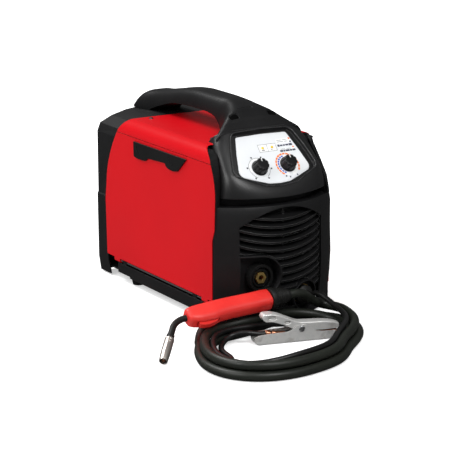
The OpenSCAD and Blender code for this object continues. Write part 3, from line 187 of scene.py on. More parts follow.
def tube_on(line, radius, sides):
    """Circles square to the line: centre + r (cos a * up + sin a * side). Also the UV map."""
    line = np.asarray(line, float)
    t = np.gradient(line, axis=0)
    t /= np.linalg.norm(t, axis=1)[:, None]
    side = np.cross(t, [0, 0, 1.0])
    side /= np.linalg.norm(side, axis=1)[:, None]
    up = np.cross(side, t)
    a = np.linspace(0, 2 * np.pi, sides, endpoint=False)
    r = np.broadcast_to(radius, len(line))[:, None, None]
    cos_a, sin_a = np.cos(a)[None, :, None], np.sin(a)[None, :, None]
    grid = line[:, None] + r * (cos_a * up[:, None] + sin_a * side[:, None])
    along = np.concatenate([[0], np.cumsum(np.linalg.norm(np.diff(line, axis=0), axis=1))])
    fold = np.abs(((a / np.pi) + 1) % 2 - 1)
    uv = np.stack(np.broadcast_arrays(along[:, None] * MM, fold[None, :]), -1).reshape(-1, 2)
    uv = np.concatenate([uv, [[0, 0.5], [along[-1] * MM, 0.5]]])
    return sheet_of(grid), uv


print("table test", table_through(np.array([0.5]), [0, 1, 2], [0, 1, 1.5]))

# %% [markdown]
# ## Finishes
# A painted panel, a textured moulding and a rubber hose differ in more than colour. Each finish below
# starts from one shader with its fixed numbers on the sockets, and then gets its patterns: a tint that
# drifts, a grain that breaks the gloss, a fine relief, and soft edges that catch the light.


# %% Tools for finishes
def new_finish(name, colour, roughness, metallic=0.0, coat=0.0, specular=0.5):
    """A material whose shader holds these constants."""
    material = bpy.data.materials.new(name)
    material.use_nodes = True
    shader = material.node_tree.nodes["Principled BSDF"]
    for socket, value in (("Roughness", roughness), ("Metallic", metallic), ("Coat Weight", coat),
                          ("Specular IOR Level", specular), ("Coat Roughness", 0.12)):
        shader.inputs[socket].default_value = value
    shader.inputs["Base Color"].default_value = (*colour, 1)
    return material


def add(material, kind, **inputs):
    """One node with its sockets set: numbers are written, other nodes' outputs linked; _0 is socket 0."""
    tree = material.node_tree
    node = tree.nodes.new(kind)
    for key, value in inputs.items():
        by_number = key[0] == "_" and key[1:].isdigit()
        socket = node.inputs[int(key[1:]) if by_number else key.replace("_", " ")]
        if isinstance(value, bpy.types.NodeSocket):
            tree.links.new(value, socket)
        else:
            socket.default_value = value
    return node


def place_of(material, stretch=(1, 1, 1), source="Object"):
    """Coordinates in metres of the piece, or its UV map, stretched along each axis."""
    where = add(material, "ShaderNodeTexCoord").outputs[source]
    return add(material, "ShaderNodeMapping", Vector=where, Scale=stretch).outputs["Vector"]


def clouds(material, per_metre, detail=3.0, rough=0.55, **where):
    """Soft noise with that many blobs to the metre, from 0 to 1."""
    return add(material, "ShaderNodeTexNoise", Vector=place_of(material, **where), Scale=float(per_metre),
               Detail=detail, Roughness=rough).outputs["Fac"]


def cells(material, per_metre, **where):
    """Distance from the middle of scattered cells."""
    return add(material, "ShaderNodeTexVoronoi", Vector=place_of(material, **where),
               Scale=float(per_metre)).outputs["Distance"]


def between(material, value, low, high, to_low=0.0, to_high=1.0):
    """A value moved from one range to another and held there."""
    return add(material, "ShaderNodeMapRange", Value=value, From_Min=low, From_Max=high, To_Min=to_low,
               To_Max=to_high).outputs["Result"]


def tint(material, value, colour, amount=1.0):
    """Mixes a colour over what the base colour already is, where value is 1."""
    tree = material.node_tree
    base = tree.nodes["Principled BSDF"].inputs["Base Color"]
    mix = tree.nodes.new("ShaderNodeMix")
    mix.data_type = "RGBA"
    mix.inputs[6].default_value = base.default_value
    if base.is_linked:
        tree.links.new(base.links[0].from_socket, mix.inputs[6])
    mix.inputs[7].default_value = (*colour, 1)
    tree.links.new(between(material, value, 0, 1, 0, amount), mix.inputs[0])
    tree.links.new(mix.outputs[2], base)
    return material


def patches(material, per_metre, detail, low, high, colour, amount, **where):
    """Tints the parts where the clouds pass from low to high."""
    spots = between(material, clouds(material, per_metre, detail, **where), low, high)
    return tint(material, spots, colour, amount)


def gloss(material, value, low, high):
    """Roughness that follows a pattern between two values."""
    shader = material.node_tree.nodes["Principled BSDF"]
    material.node_tree.links.new(between(material, value, 0, 1, low, high), shader.inputs["Roughness"])
    return material


def relief(material, value, depth, strength=1.0):
    """Bumps of that depth in mm, added to the bumps already there."""
    shader = material.node_tree.nodes["Principled BSDF"]
    bump = add(material, "ShaderNodeBump", Height=value, Distance=depth * MM, Strength=strength)
    if shader.inputs["Normal"].is_linked:
        material.node_tree.links.new(shader.inputs["Normal"].links[0].from_socket, bump.inputs["Normal"])
    material.node_tree.links.new(bump.outputs["Normal"], shader.inputs["Normal"])
    return material


def soft_edges(material, radius, wear=None, amount=0.4):
    """Rounds sharp edges in the shading by radius mm; wear tints the edge itself."""
    tree = material.node_tree
    bevel = tree.nodes.new("ShaderNodeBevel")
    bevel.samples = 4
    bevel.inputs["Radius"].default_value = radius * MM
    tree.links.new(bevel.outputs["Normal"], tree.nodes["Principled BSDF"].inputs["Normal"])
    if wear:
        flat = tree.nodes.new("ShaderNodeNewGeometry").outputs["Normal"]
        dot = tree.nodes.new("ShaderNodeVectorMath")
        dot.operation = "DOT_PRODUCT"
        tree.links.new(bevel.outputs["Normal"], dot.inputs[0])
        tree.links.new(flat, dot.inputs[1])
        tint(material, between(material, dot.outputs["Value"], 0.98, 0.8), wear, amount)
    return material


print("finish tools ready")

# %% [markdown]
# ## The rubber of the leads
# The hose of a torch is a thick olive-black rubber skin. It is matt, but its round shape gives it one
# soft long gloss. Handling leaves pale scuffs along it, so the streaks are stretched along the UV map,
# whose first axis runs along the lead in metres.

# %% Rubber
hose_rubber = new_finish("hose_rubber", (0.0085, 0.0105, 0.0078), 0.4, specular=0.36)
patches(hose_rubber, 9, 3.0, 0.35, 0.75, (0.015, 0.017, 0.012), 0.8, stretch=(1, 0.35, 1), source="UV")
patches(hose_rubber, 130, 4, 0.66, 0.8, (0.05, 0.048, 0.038), 0.3, stretch=(0.25, 0.6, 1), source="UV")
gloss(hose_rubber, clouds(hose_rubber, 60, 4), 0.34, 0.56)
relief(hose_rubber, clouds(hose_rubber, 900, 2), 0.12, 0.5)
lead_rubber = new_finish("lead_rubber", (0.0055, 0.0055, 0.0055), 0.36, specular=0.4)
patches(lead_rubber, 70, 3, 0.55, 0.75, (0.03, 0.03, 0.028), 0.5, source="UV")
gloss(lead_rubber, clouds(lead_rubber, 80, 4), 0.3, 0.5)
relief(lead_rubber, clouds(lead_rubber, 1200, 2), 0.08, 0.4)

# %% [markdown]
# ## Routes of the two leads
# The torch hose makes a little over two and a half turns on the floor in front of the machine, with
# its connector beside the foot of the front. The thin earth lead follows it, on and inside the turns,
# from the clamp to the plug. Both are wound on one oval line, and each lead has a table that says how
# far outside that line it lies and how high, turn by turn.

# %% Routes
coil_at = np.array([-95.0, -356.0])
hose_d, lead_d = 16.0, 9.5


def cosine(a):
    return np.cos(np.radians(a))


def coil_mid(a):
    """The oval: radius 129 plus three cosines of two, three and four lobes, at angle a in degrees."""
    r = 129 + 31 * cosine(2 * (a - 25)) + 10 * cosine(3 * (a - 23)) + 9 * cosine(4 * (a - 31))
    return np.stack([r * cosine(a), r * cosine(a - 90)], -1)


def wound(rows, start, way, turns, per_turn):
    """Points round the oval: middle line + out * its outward normal, at the height from the table."""
    rows = np.array(rows)
    u = np.linspace(0, turns, int(turns * per_turn) + 1)
    a = start + way * 360 * u
    t = coil_mid(a + 1) - coil_mid(a - 1)
    t /= np.linalg.norm(t, axis=1)[:, None]
    out, height = np.interp(u, rows[:, 0], rows[:, 1]), np.interp(u, rows[:, 0], rows[:, 2])
    flat = coil_at + coil_mid(a) + out[:, None] * np.stack([t[:, 1], -t[:, 0]], -1)
    return np.column_stack([flat, height])


def eased(line, times):
    """Moving average (1, 2, 1)/4 along a line with both its ends kept, for hand-bent corners."""
    for _ in range(times):
        line = np.concatenate([line[:1], (line[:-2] + 2 * line[1:-1] + line[2:]) / 4, line[-1:]])
    return line


hose_rows = [
    [0, 2, 25], [0.05, 0, 23], [0.12, 0, 22.6], [0.7, 0, 22.6], [0.757, 0, 26], [0.817, 0, 26.5],
    [0.867, -4, 24], [0.917, -8.8, 17], [0.967, -8.8, 10], [1.017, -8.8, 8], [1.707, -8.8, 8],
    [1.8, 4, 8], [1.88, 6.3, 8], [1.94, 8.8, 8], [3, 8.8, 8],
]
earth_rows = [
    [0, -42, 5.2], [0.08, -33, 5.2], [0.14, -26, 6.5], [0.2, -22.5, 12], [0.26, -18.6, 18],
    [0.32, -13.6, 21.2],
    [0.46, -13.6, 21.2], [0.54, -22.8, 14], [0.58, -23.6, 7], [0.66, -23.6, 6], [0.73, -15.5, 18],
    [0.78, -13.6, 21.2], [1.12, -13.8, 21.2], [1.17, -14, 26], [1.22, -10.4, 31.2], [1.41, -10.4, 31.2],
    [1.46, -11.8, 31.4],
]
hose_turns = wound(hose_rows, 10, -1, 63 / 24, 120)
earth_turns = wound(earth_rows, 175, 1, 35 / 24, 120)

torch_at = np.array([-216.0, -257.0, 49.033])
torch_dir = np.array([cosine(-3.2) * cosine(-1.8), cosine(-3.2) * cosine(-91.8), -cosine(-93.2)])
torch_l = 158.0
hose_start = torch_at + (torch_l + 40) * torch_dir
connector_at = np.array([-150.0, -232.0, 17.0])
hose_out = np.array([
    hose_start, hose_start + hose_d * torch_dir, [13, -261, 56], [28, -255, 45.5], [44, -251, 35.5],
    [60, -253.5, 29], [71.5, -264, 26.8], [77.5, -280, 26], [76.5, -297, 25.3], hose_turns[0],
])
hose_in = np.array([hose_turns[-1], [-203, -277, 8], [-192, -260, 9.5], [-180, -244, 13.5],
                    connector_at - [hose_d, 0, 0], connector_at])
hose_route = np.concatenate([curve_through(hose_out, 4)[:-1], hose_turns, curve_through(hose_in, 4)[1:]])
hose_route = eased(hose_route, 6)

turn = np.radians(-14)
clamp_at = np.array([-116.0, -303.0, 0.0])
clamp_dir = np.array([np.cos(turn), np.sin(turn), 0])
lug_at = clamp_at + 22 * clamp_dir + [0, 0, 16]
plug_at = np.array([44.0, -224.5, 40.0])
lead_out = np.array([
    lug_at, lug_at - lead_d * clamp_dir, [-123, -296.5, 19], [-134, -287, 17], [-147, -283.5, 13.5],
    [-160, -287.5, 9.5], [-172, -297, 6.5], [-182, -312, 5.2], [-188.5, -331, 5.2], earth_turns[0],
])
lead_in = np.array([
    earth_turns[-1], [24, -369, 32.5], [35, -356, 33.5], [44, -341, 34], [50, -325, 34.5], [53, -308, 36],
    [53.5, -291, 40], [51.5, -275, 45], [49, -262, 49.6], [47, -250, 50.2], [45.5, -241.5, 47],
    plug_at - [0, lead_d, 0], plug_at,
])
lead_route = np.concatenate([curve_through(lead_out, 3)[:-1], earth_turns, curve_through(lead_in, 3)[1:]])
lead_route = eased(lead_route, 6)

# %% [markdown]
# ## The leads as tubes
# Each lead is one tube of circles square to its route.

# %% Leads
sheets, uv = tube_on(hose_route, hose_d / 2, 28)
torch_hose = make_piece("torch_hose", sheets, hose_rubber, instead_of=("torch_lead", "torch_lead_coil"),
                        uv=uv)
sheets, uv = tube_on(lead_route, lead_d / 2, 24)
earth_lead = make_piece("earth_lead_cord", sheets, lead_rubber, instead_of=("earth_lead", "earth_lead_coil"),
                        uv=uv)
print("leads", len(torch_hose.data.vertices), len(earth_lead.data.vertices), "points")

# %% [markdown]
# ## Studio
# The machine stands on a white floor in white surroundings. The floor is a plain pale surface that
# keeps the shadow, and only the camera sees it lifted to white, more so further away. Reflections see
# a dark room, as between the black flags of a studio, so paint and plastic keep their depth. One soft
# lamp stands on the left, one in front and above, and one behind lights the top edges.

# %% Floor, world and lamps
floor_paint = new_finish("floor_paint", (0.8, 0.8, 0.8), 0.9, specular=0.1)
tree = floor_paint.node_tree
seen = tree.nodes.new("ShaderNodeLightPath")
far_off = add(floor_paint, "ShaderNodeVectorMath", _0=place_of(floor_paint))
far_off.operation = "LENGTH"
lifted = between(floor_paint, far_off.outputs["Value"], 0.5, 1.4, 0.5, 1.0)
glow = add(floor_paint, "ShaderNodeEmission",
           Strength=between(floor_paint, seen.outputs["Is Camera Ray"], 0, 1, 0, lifted))
tree.links.new(between(floor_paint, seen.outputs["Is Glossy Ray"], 0, 1, 0.8, 0.07),
               tree.nodes["Principled BSDF"].inputs["Base Color"])
both = tree.nodes.new("ShaderNodeAddShader")
tree.links.new(tree.nodes["Principled BSDF"].outputs[0], both.inputs[0])
tree.links.new(glow.outputs[0], both.inputs[1])
tree.links.new(both.outputs[0], tree.nodes["Material Output"].inputs["Surface"])
reach, under = 6.0, -0.0002
floor_mesh = bpy.data.meshes.new("floor")
corners = [(x * reach, y * reach, under) for x, y in ((-1, -1), (1, -1), (1, 1), (-1, 1))]
floor_mesh.from_pydata(corners, [], [(0, 1, 2, 3)])
floor_mesh.materials.append(floor_paint)
floor = bpy.data.objects.new("floor", floor_mesh)
bpy.context.scene.collection.objects.link(floor)

world = bpy.data.worlds.new("white_room")
bpy.context.scene.world = world
world.use_nodes = True
sky = world.node_tree
path = sky.nodes.new("ShaderNodeLightPath")
level = None
for ray, least in (("Is Glossy Ray", 0.38), ("Is Camera Ray", 0.12)):
    step = sky.nodes.new("ShaderNodeMapRange")
    sky.links.new(path.outputs[ray], step.inputs["Value"])
    step.inputs["To Min"].default_value = least
    step.inputs["To Max"].default_value = 0.12 if ray == "Is Glossy Ray" else 1.0
    if level:
        sky.links.new(level.outputs[0], step.inputs["To Min"])
    level = step
sky.links.new(level.outputs[0], sky.nodes["Background"].inputs["Strength"])
sky.nodes["Background"].inputs["Color"].default_value = (1, 1, 1, 1)


def lamp(name, at, towards, size, power):
    """A square soft lamp in metres that shines from one point towards another."""
    light = bpy.data.lights.new(name, "AREA")
    light.shape, light.size, light.energy = "SQUARE", size, power
    body = bpy.data.objects.new(name, light)
    way = np.array(at, float) - np.array(towards, float)
    body.location = at
    body.rotation_euler = (np.arccos(way[2] / np.linalg.norm(way)), 0, np.arctan2(way[1], way[0]) + np.pi / 2)
    bpy.context.scene.collection.objects.link(body)


lamp("key_lamp", (-2.0, -0.5, 1.5), (0, -0.05, 0.15), 1.1, 25)
lamp("front_lamp", (-0.1, -2.0, 2.1), (0, -0.1, 0.1), 1.1, 42)
lamp("back_lamp", (-0.9, 1.3, 2.4), (0, 0, 0.2), 1.2, 60)

# %% [markdown]
# ## Red paint
# The cover and the door are sheet steel under a thick red powder paint. Powder paint is glossy but
# never flat: it has a faint orange peel of a few millimetres, and its colour and gloss drift a little.
# Its sheen is kept low, so the colour stays deep where the lamps strike it.

# %% Red paint
red_paint = new_finish("red_paint", (0.5, 0.004, 0.008), 0.36, specular=0.08)
soft_edges(red_paint, 0.6, wear=(0.75, 0.06, 0.05), amount=0.5)
patches(red_paint, 5, 2, 0.35, 0.7, (0.43, 0.0045, 0.0085), 0.55)
gloss(red_paint, clouds(red_paint, 40, 4), 0.32, 0.42)
relief(red_paint, clouds(red_paint, 320, 2), 0.05, 0.35)

# %% [markdown]
# ## Black mouldings
# The front, the rear and the handle are moulded in charcoal plastic with a spark-eroded grain, which
# is a field of tiny pits and bumps about half a millimetre wide. It spreads the light, so the big
# forms show as soft grey gradients, and the edges, polished by hands, shine a little more.

# %% Black mouldings


def moulded(name, colour, low, high, grain=1500, depth=0.09, edge=1.2, shine=0.3, worn=0.0):
    """Charcoal plastic: cell grain, soft blotches in colour and gloss, rounded edges a little paler."""
    m = new_finish(name, colour, (low + high) / 2, specular=shine)
    soft_edges(m, edge, wear=tuple(3 * c + 0.012 + worn for c in colour), amount=0.5 + 4 * worn)
    patches(m, 14, 3, 0.4, 0.7, tuple(1.5 * c for c in colour), 0.6)
    patches(m, 260, 3, 0.68, 0.8, tuple(3 * c + 0.008 for c in colour), 0.35)
    gloss(m, clouds(m, 25, 4), low, high)
    relief(m, cells(m, grain), depth, 0.5)
    return m


case_plastic = moulded("case_plastic", (0.0058, 0.0058, 0.0062), 0.42, 0.56, edge=1.6)
hood_plastic = moulded("hood_plastic", (0.0068, 0.0068, 0.0072), 0.33, 0.42, edge=2.4, shine=0.5)
handle_plastic = moulded("handle_plastic", (0.006, 0.006, 0.0064), 0.38, 0.5, edge=0.5, shine=0.24)
louvre_plastic = moulded("louvre_plastic", (0.0036, 0.0036, 0.0038), 0.4, 0.5, edge=1.3, worn=0.11)
bead_plastic = moulded("bead_plastic", (0.02, 0.02, 0.021), 0.24, 0.32, grain=2600, depth=0.02, edge=0.3,
                       shine=0.6)
part_plastic = moulded("part_plastic", (0.005, 0.005, 0.005), 0.38, 0.5, grain=2200, depth=0.05, edge=0.5)
knob_plastic = moulded("knob_plastic", (0.0045, 0.0045, 0.005), 0.3, 0.42, grain=2600, depth=0.04, edge=0.4)
foot_rubber = moulded("foot_rubber", (0.005, 0.005, 0.005), 0.6, 0.8, grain=900, depth=0.06, edge=0.8)
sleeve_rubber = moulded("sleeve_rubber", (0.0065, 0.0065, 0.006), 0.45, 0.6, grain=1400, depth=0.05, edge=0.5)

# %% [markdown]
# ## Plated and bare metal
# The clamp is galvanised: zinc crystals make a patchwork of grey tones, and its edges are worn bright.
# Brass, nickel and copper are smooth, with faint turning marks that break up the reflection.

# %% Metals


def metal(name, colour, roughness, drift, streak=60, edge=0.3, peel=0.03):
    """Bare metal: a drifting tone, fine scratches in the gloss, and bright rounded edges."""
    m = new_finish(name, colour, roughness, metallic=1.0)
    soft_edges(m, edge, wear=tuple(min(1, 1.35 * c) for c in colour), amount=0.6)
    patches(m, 30, 4, 0.35, 0.7, tuple(c * drift for c in colour), 0.7)
    gloss(m, clouds(m, streak, 4, stretch=(1, 8, 1)), roughness * 0.7, min(1, roughness * 1.4))
    relief(m, clouds(m, 700, 3), peel, 0.4)
    return m


steel = metal("plated_steel", (0.52, 0.53, 0.54), 0.34, 0.75)
dark_steel = metal("dark_steel", (0.07, 0.07, 0.075), 0.42, 0.8)
alloy = metal("cast_alloy", (0.6, 0.61, 0.63), 0.45, 0.8, peel=0.08)
brass = metal("turned_brass", (0.9, 0.62, 0.22), 0.42, 0.8)
nickel = metal("nozzle_nickel", (0.8, 0.74, 0.68), 0.36, 0.8, edge=0.4)
copper = metal("tip_copper", (0.72, 0.32, 0.19), 0.34, 0.65)
wire_copper = metal("wire_copper", (0.7, 0.36, 0.2), 0.32, 0.8)
zinc = new_finish("clamp_zinc", (0.62, 0.62, 0.61), 0.38, metallic=0.55)
soft_edges(zinc, 0.35, wear=(0.85, 0.84, 0.82), amount=0.7)
spangle = add(zinc, "ShaderNodeTexVoronoi", Vector=place_of(zinc), Scale=170.0)
crystal = add(zinc, "ShaderNodeSeparateColor", Color=spangle.outputs["Color"]).outputs[0]
tint(zinc, between(zinc, crystal, 0, 1), (0.74, 0.73, 0.7), 0.5)
patches(zinc, 45, 5, 0.58, 0.72, (0.3, 0.28, 0.26), 0.55)
gloss(zinc, clouds(zinc, 120, 4), 0.3, 0.55)
relief(zinc, clouds(zinc, 500, 3), 0.06, 0.5)

# %% [markdown]
# ## Small finishes
# The rest is printed film, lamp windows, torch plastic and the parts inside the spool bay.

# %% Small finishes
panel_film = new_finish("panel_film", (0.76, 0.78, 0.8), 0.42, specular=0.4)
soft_edges(panel_film, 0.3)
patches(panel_film, 20, 3, 0.35, 0.7, (0.72, 0.74, 0.76), 0.6)
gloss(panel_film, clouds(panel_film, 90, 4), 0.36, 0.5)
relief(panel_film, clouds(panel_film, 1800, 2), 0.03, 0.4)


def ink(name, colour, roughness=0.5):
    """Screen-printed ink: one colour with a thin spot here and there, and a trace of relief."""
    m = new_finish(name, colour, roughness)
    patches(m, 700, 2, 0.6, 0.8, tuple(0.75 * c + 0.1 for c in colour), 0.5)
    relief(m, clouds(m, 1500, 2), 0.02, 0.3)
    return m


white_ink = ink("white_ink", (0.86, 0.87, 0.87))
black_ink = ink("black_ink", (0.02, 0.02, 0.024))
navy_ink = ink("navy_ink", (0.03, 0.035, 0.07))
orange_ink = ink("orange_ink", (0.86, 0.2, 0.03))
blue_ink = ink("blue_ink", (0.03, 0.09, 0.5))
grey_ink = ink("grey_ink", (0.2, 0.21, 0.23))
window_film = ink("window_film", (0.7, 0.71, 0.68), 0.25)
lamp_amber = ink("lamp_amber", (0.8, 0.55, 0.03), 0.15)
torch_red = new_finish("torch_red", (0.66, 0.018, 0.014), 0.44, specular=0.45)
soft_edges(torch_red, 0.5, wear=(0.85, 0.16, 0.12), amount=0.45)
patches(torch_red, 22, 3, 0.35, 0.75, (0.74, 0.035, 0.026), 0.7)
gloss(torch_red, clouds(torch_red, 70, 4), 0.36, 0.54)
relief(torch_red, cells(torch_red, 1300), 0.05, 0.45)
rocker_red = torch_red.copy()
rocker_red.name = "rocker_red"
fan_plastic = moulded("fan_plastic", (0.006, 0.006, 0.0065), 0.45, 0.6, edge=0.4)
board_green = new_finish("board_green", (0.012, 0.11, 0.04), 0.35, coat=0.3)
tint(board_green, between(board_green, cells(board_green, 260), 0.05, 0.12), (0.5, 0.45, 0.3), 0.7)
gloss(board_green, clouds(board_green, 200, 3), 0.3, 0.45)
windings = metal("varnished_windings", (0.4, 0.17, 0.06), 0.35, 0.7)
print("finishes", len(bpy.data.materials))

# %% [markdown]
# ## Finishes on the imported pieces
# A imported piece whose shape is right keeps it, and only gets its finish.

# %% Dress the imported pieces
finish_of = {
    "base_tray": case_plastic, "feet": foot_rubber, "front_moulding": case_plastic,
    "front_louvres": louvre_plastic, "panel_housing": hood_plastic, "control_panel": panel_film,
    "indicator_window": window_film,
    "indicator_leds": lamp_amber, "control_board": board_green, "potentiometers": steel,
    "knob_left": knob_plastic, "knob_right": knob_plastic, "handle": handle_plastic, "top_cover": red_paint,
    "rear_moulding": case_plastic, "fan_grille": part_plastic, "fan_frame": fan_plastic,
    "fan_rotor": fan_plastic,
    "mains_switch_frame": part_plastic, "mains_switch_rocker": rocker_red, "mains_gland": part_plastic,
    "gas_inlet": brass, "cover_screws": dark_steel, "side_door": red_paint, "latch_plate": part_plastic,
    "latch_catches": knob_plastic, "hinge_pin": steel, "divider": steel, "spool_axle": part_plastic,
    "spool_nut": part_plastic, "wire_spool": fan_plastic, "wire_pack": wire_copper, "feed_bracket": alloy,
    "feed_motor": steel, "drive_roller": steel, "pressure_arm": part_plastic, "idler_roller": steel,
    "tension_knob": rocker_red, "wire_guides": brass, "inverter_board": board_green, "heat_sink": alloy,
    "transformer": windings, "torch_socket": part_plastic, "torch_socket_bush": brass, "earth_socket": brass,
    "earth_plug": sleeve_rubber, "torch_handle": torch_red, "torch_trigger": torch_red,
    "torch_neck": sleeve_rubber,
    "gas_nozzle": nickel, "contact_tip": copper, "torch_collar": sleeve_rubber, "torch_lead": hose_rubber,
    "torch_lead_coil": hose_rubber, "torch_connector": sleeve_rubber, "clamp_lower_arm": zinc,
    "clamp_upper_arm": zinc, "clamp_spring": steel, "earth_lead": lead_rubber, "earth_lead_coil": lead_rubber,
}
for node, finish in finish_of.items():
    nodes[node].data.materials.clear()
    nodes[node].data.materials.append(finish)
print("dressed", len(finish_of), "of", len(nodes))

# %% [markdown]
# ## The handle
# The handle is one moulding: a broad fore end that carries on the slope of the hood, a waist, a round
# grip and a rear foot. Its width, top and underside are measured at a few stations, run smoothly
# through a table, and each section is a flattened dome. Two vents and one fine line are sunk into the
# fore end by lowering the points inside their outline, which keeps them part of the same skin.

# %% Handle
handle_at = [-138.44, -129.74, -121.74, -110, -96, -80, -66, -56, -46, -32, -10, 30, 65, 95, 120, 146, 168,
             184, 200, 214, 224, 230]
handle_width = [86, 80, 71.5, 58, 46, 37, 32, 30, 30, 30, 30, 30, 30, 30, 30, 30, 31, 33, 36, 39, 40, 40]
handle_top = [324.65, 334.86, 343.94, 353.5, 358.5, 362.5, 364.5, 365, 365, 365, 365, 365, 362.5, 358, 353,
              348, 344, 342, 340, 335, 327, 315]
handle_under = [305, 305, 305, 305, 305, 305, 305, 316, 325, 330, 332, 332, 331, 329, 324, 317, 310, 305, 305,
                305, 305, 305]
handle_square = [9, 5] + [4] * 19 + [5]


def sunk(x, y, middle, half, corner, depth, soft=1.0):
    """How far a point is lowered: full depth inside a round-cornered box, easing to 0 over its rim."""
    q = np.abs(np.stack([x - middle[0], y - middle[1]])) - np.array(half)[:, None, None] + corner
    away = np.linalg.norm(np.maximum(q, 0), axis=0) + np.minimum(q.max(0), 0) - corner
    t = np.clip(0.5 - away / soft, 0, 1)
    return depth * t * t * (3 - 2 * t)


vent_at, vent_half = (38, -118.8), (8, 4.6)
slope_cos, slope_sin = 0.661, 0.75


def dome(t, top, low, e):
    """Height of the handle's skin at t of its half width: low + 3 + (top - low - 3) sqrt(1 - |t|^e)."""
    return low + 3 + (top - low - 3) * np.sqrt(1 - np.abs(t) ** e)


def handle_grid():
    """Rows along y, columns round the section: the dome above, a soft underside, a tongue in front."""
    y = np.concatenate([np.arange(-138.44, -127, 1.9), np.arange(-126, -100, 0.8), np.arange(-99, 214, 3.4),
                        np.arange(216, 230, 1.4), [230.0]])
    w, top, low, e = (table_through(y, handle_at, v)[:, None]
                      for v in (handle_width, handle_top, handle_under, handle_square))
    t = -np.cos(np.linspace(0, np.pi, 230))[None, :]
    x = w * t
    z = dome(t, top, low, e)
    yy = np.broadcast_to(y[:, None], x.shape)
    for side in (-1, 1):
        z = z - sunk(x, yy, (vent_at[0] * side, vent_at[1]), vent_half, 1.6, 16, soft=0.7)
    z = z - sunk(x, yy, (-8.5, -107.0), (14.5, 0.6), 0.4, 2.0, soft=0.8)
    seam = -127.5 - 3.5 * (x / 80) ** 2
    z = z - 0.8 * np.exp(-(((yy - seam) / 0.7) ** 2))
    back = t[:, -2:0:-6]
    under = low + np.where(low > 305.5, 3 * np.abs(back) ** 3, 0)
    xs = np.concatenate([x, w * back], 1)
    zs = np.concatenate([z, under], 1)
    body = np.stack([xs, np.broadcast_to(y[:, None], xs.shape), zs], -1)
    reach, lift = np.array([[4.0, 3.8, 2.5], [-1.5, 0.2, 0.3]])[:, :, None] + 0 * xs[:1]
    tongue = body[:1] + np.stack([0.006 * body[:1, :, 0] + 0 * reach, -reach * slope_cos - lift * slope_sin,
                                  -reach * slope_sin + lift * slope_cos], -1)
    return np.concatenate([tongue, body])


handle = make_piece("moulded_handle", sheet_of(handle_grid()), handle_plastic, instead_of=("handle",))
print("handle", len(handle.data.polygons), "faces")

# %% [markdown]
# ## Painted shade in the vents
# A vent needs something black under its rim, or light from the walls makes it grey. A small oval near-black
# disc, painted shade rather than a part, follows the dome 2 mm below it: radius r and angle a give a point,
# and the dome its height.

# %% Vent shade discs
# Painted shade: each near-black disc stands in for the shade deep inside one vent.
vent_painted_shade = new_finish("vent_painted_shade", (0.0008, 0.0008, 0.0008), 0.9, specular=0.05)
r, a = np.linspace(0.05, 1, 8)[:, None], np.linspace(0, 2 * np.pi, 40, endpoint=False)[None, :]
for name, middle in (("left_vent_gauze", -vent_at[0]), ("right_vent_gauze", vent_at[0])):
    x = middle + (vent_half[0] + 0.1) * r * np.cos(a)
    y = vent_at[1] + (vent_half[1] + 0.1) * r * np.sin(a)
    w, top, low, e = (np.interp(y, handle_at, v)
                      for v in (handle_width, handle_top, handle_under, handle_square))
    make_piece(name, sheet_of(np.stack([x, y, dome(x / w, top, low, e) - 2], -1)), vent_painted_shade)
print("vent shade discs", 2)

# %% [markdown]
# ## The control panel
# The panel is a thin plate with round corners, stuck in a recess of the sloping hood. Its marks are
# printed: a scale round each knob, a frame for the two lamps and a small table. Each mark is a patch
# of the plate's own surface, a twentieth of a millimetre proud of it, so it takes the same light.

# %% Panel plate and prints
slope = np.radians(48.6)
panel_origin = np.array([0, -186.0, 265.0])


def on_panel(points):
    """From panel millimetres (across, up the slope, out of it) to the machine's frame."""
    x, up, out = np.moveaxis(np.asarray(points, float), -1, 0)
    turned = [x, up * np.cos(slope) - out * np.sin(slope), up * np.sin(slope) + out * np.cos(slope)]
    return panel_origin + np.stack(turned, -1)


def rounded_outline(half, radius, count):
    """A mirrored polygon walked evenly, with each corner rounded by averaging over the given length."""
    pts = np.array(half + [[-x, y] for x, y in half[::-1] if x > 0], float)
    loop = np.concatenate([pts, pts[:1]])
    far = np.concatenate([[0], np.cumsum(np.linalg.norm(np.diff(loop, axis=0), axis=1))])
    at = np.linspace(0, far[-1], 1200, endpoint=False)
    walk = np.stack([np.interp(at, far, loop[:, i]) for i in (0, 1)], -1)
    n = int(radius / far[-1] * 1200) * 2 + 1
    window = np.hanning(n + 2)[1:-1]
    window /= window.sum()
    long = np.concatenate([walk[-n:], walk, walk[:n]])
    soft = np.stack([np.convolve(long[:, i], window, "same")[n:-n] for i in (0, 1)], -1)
    return soft[:: 1200 // count]


plate_half = [[0, 65], [50.5, 63.6], [61, 31], [70, -3], [69, -9], [65, -14], [45, -22], [21, -31],
              [0, -32.5]]
rim = rounded_outline(plate_half, 4.5, 300)
middle = np.array([0, 14.0])
rows = [np.column_stack([middle + (rim - middle) * f, np.full(len(rim), h)])
        for f, h in ((0.02, 0), (0.5, 0), (0.9, 0), (0.993, 0), (0.998, -0.12), (1.0, -0.4), (1.0, -1.4))]
plate = make_piece("panel_plate", sheet_of(on_panel(np.stack(rows))), panel_film,
                   instead_of=("control_panel", "indicator_window"))


def ring_patch(x, up, inner, outer, start, stop, lift):
    """Part of a flat ring round (x, up), from start to stop degrees."""
    a = np.radians(np.linspace(start, stop, max(2, int(abs(stop - start) / 5) + 1)))
    edge = [np.stack([x + r * np.cos(a), up + r * np.sin(a), np.full(len(a), lift)], -1)
            for r in (inner, outer)]
    return sheet_of(on_panel(np.stack(edge)), around=False, ends=False)


def bar_patch(x0, up0, x1, up1, lift):
    """A flat bar between two corners."""
    grid = [[[x0, up0, lift], [x1, up0, lift]], [[x0, up1, lift], [x1, up1, lift]]]
    return sheet_of(on_panel(np.array(grid, float)), around=False, ends=False)


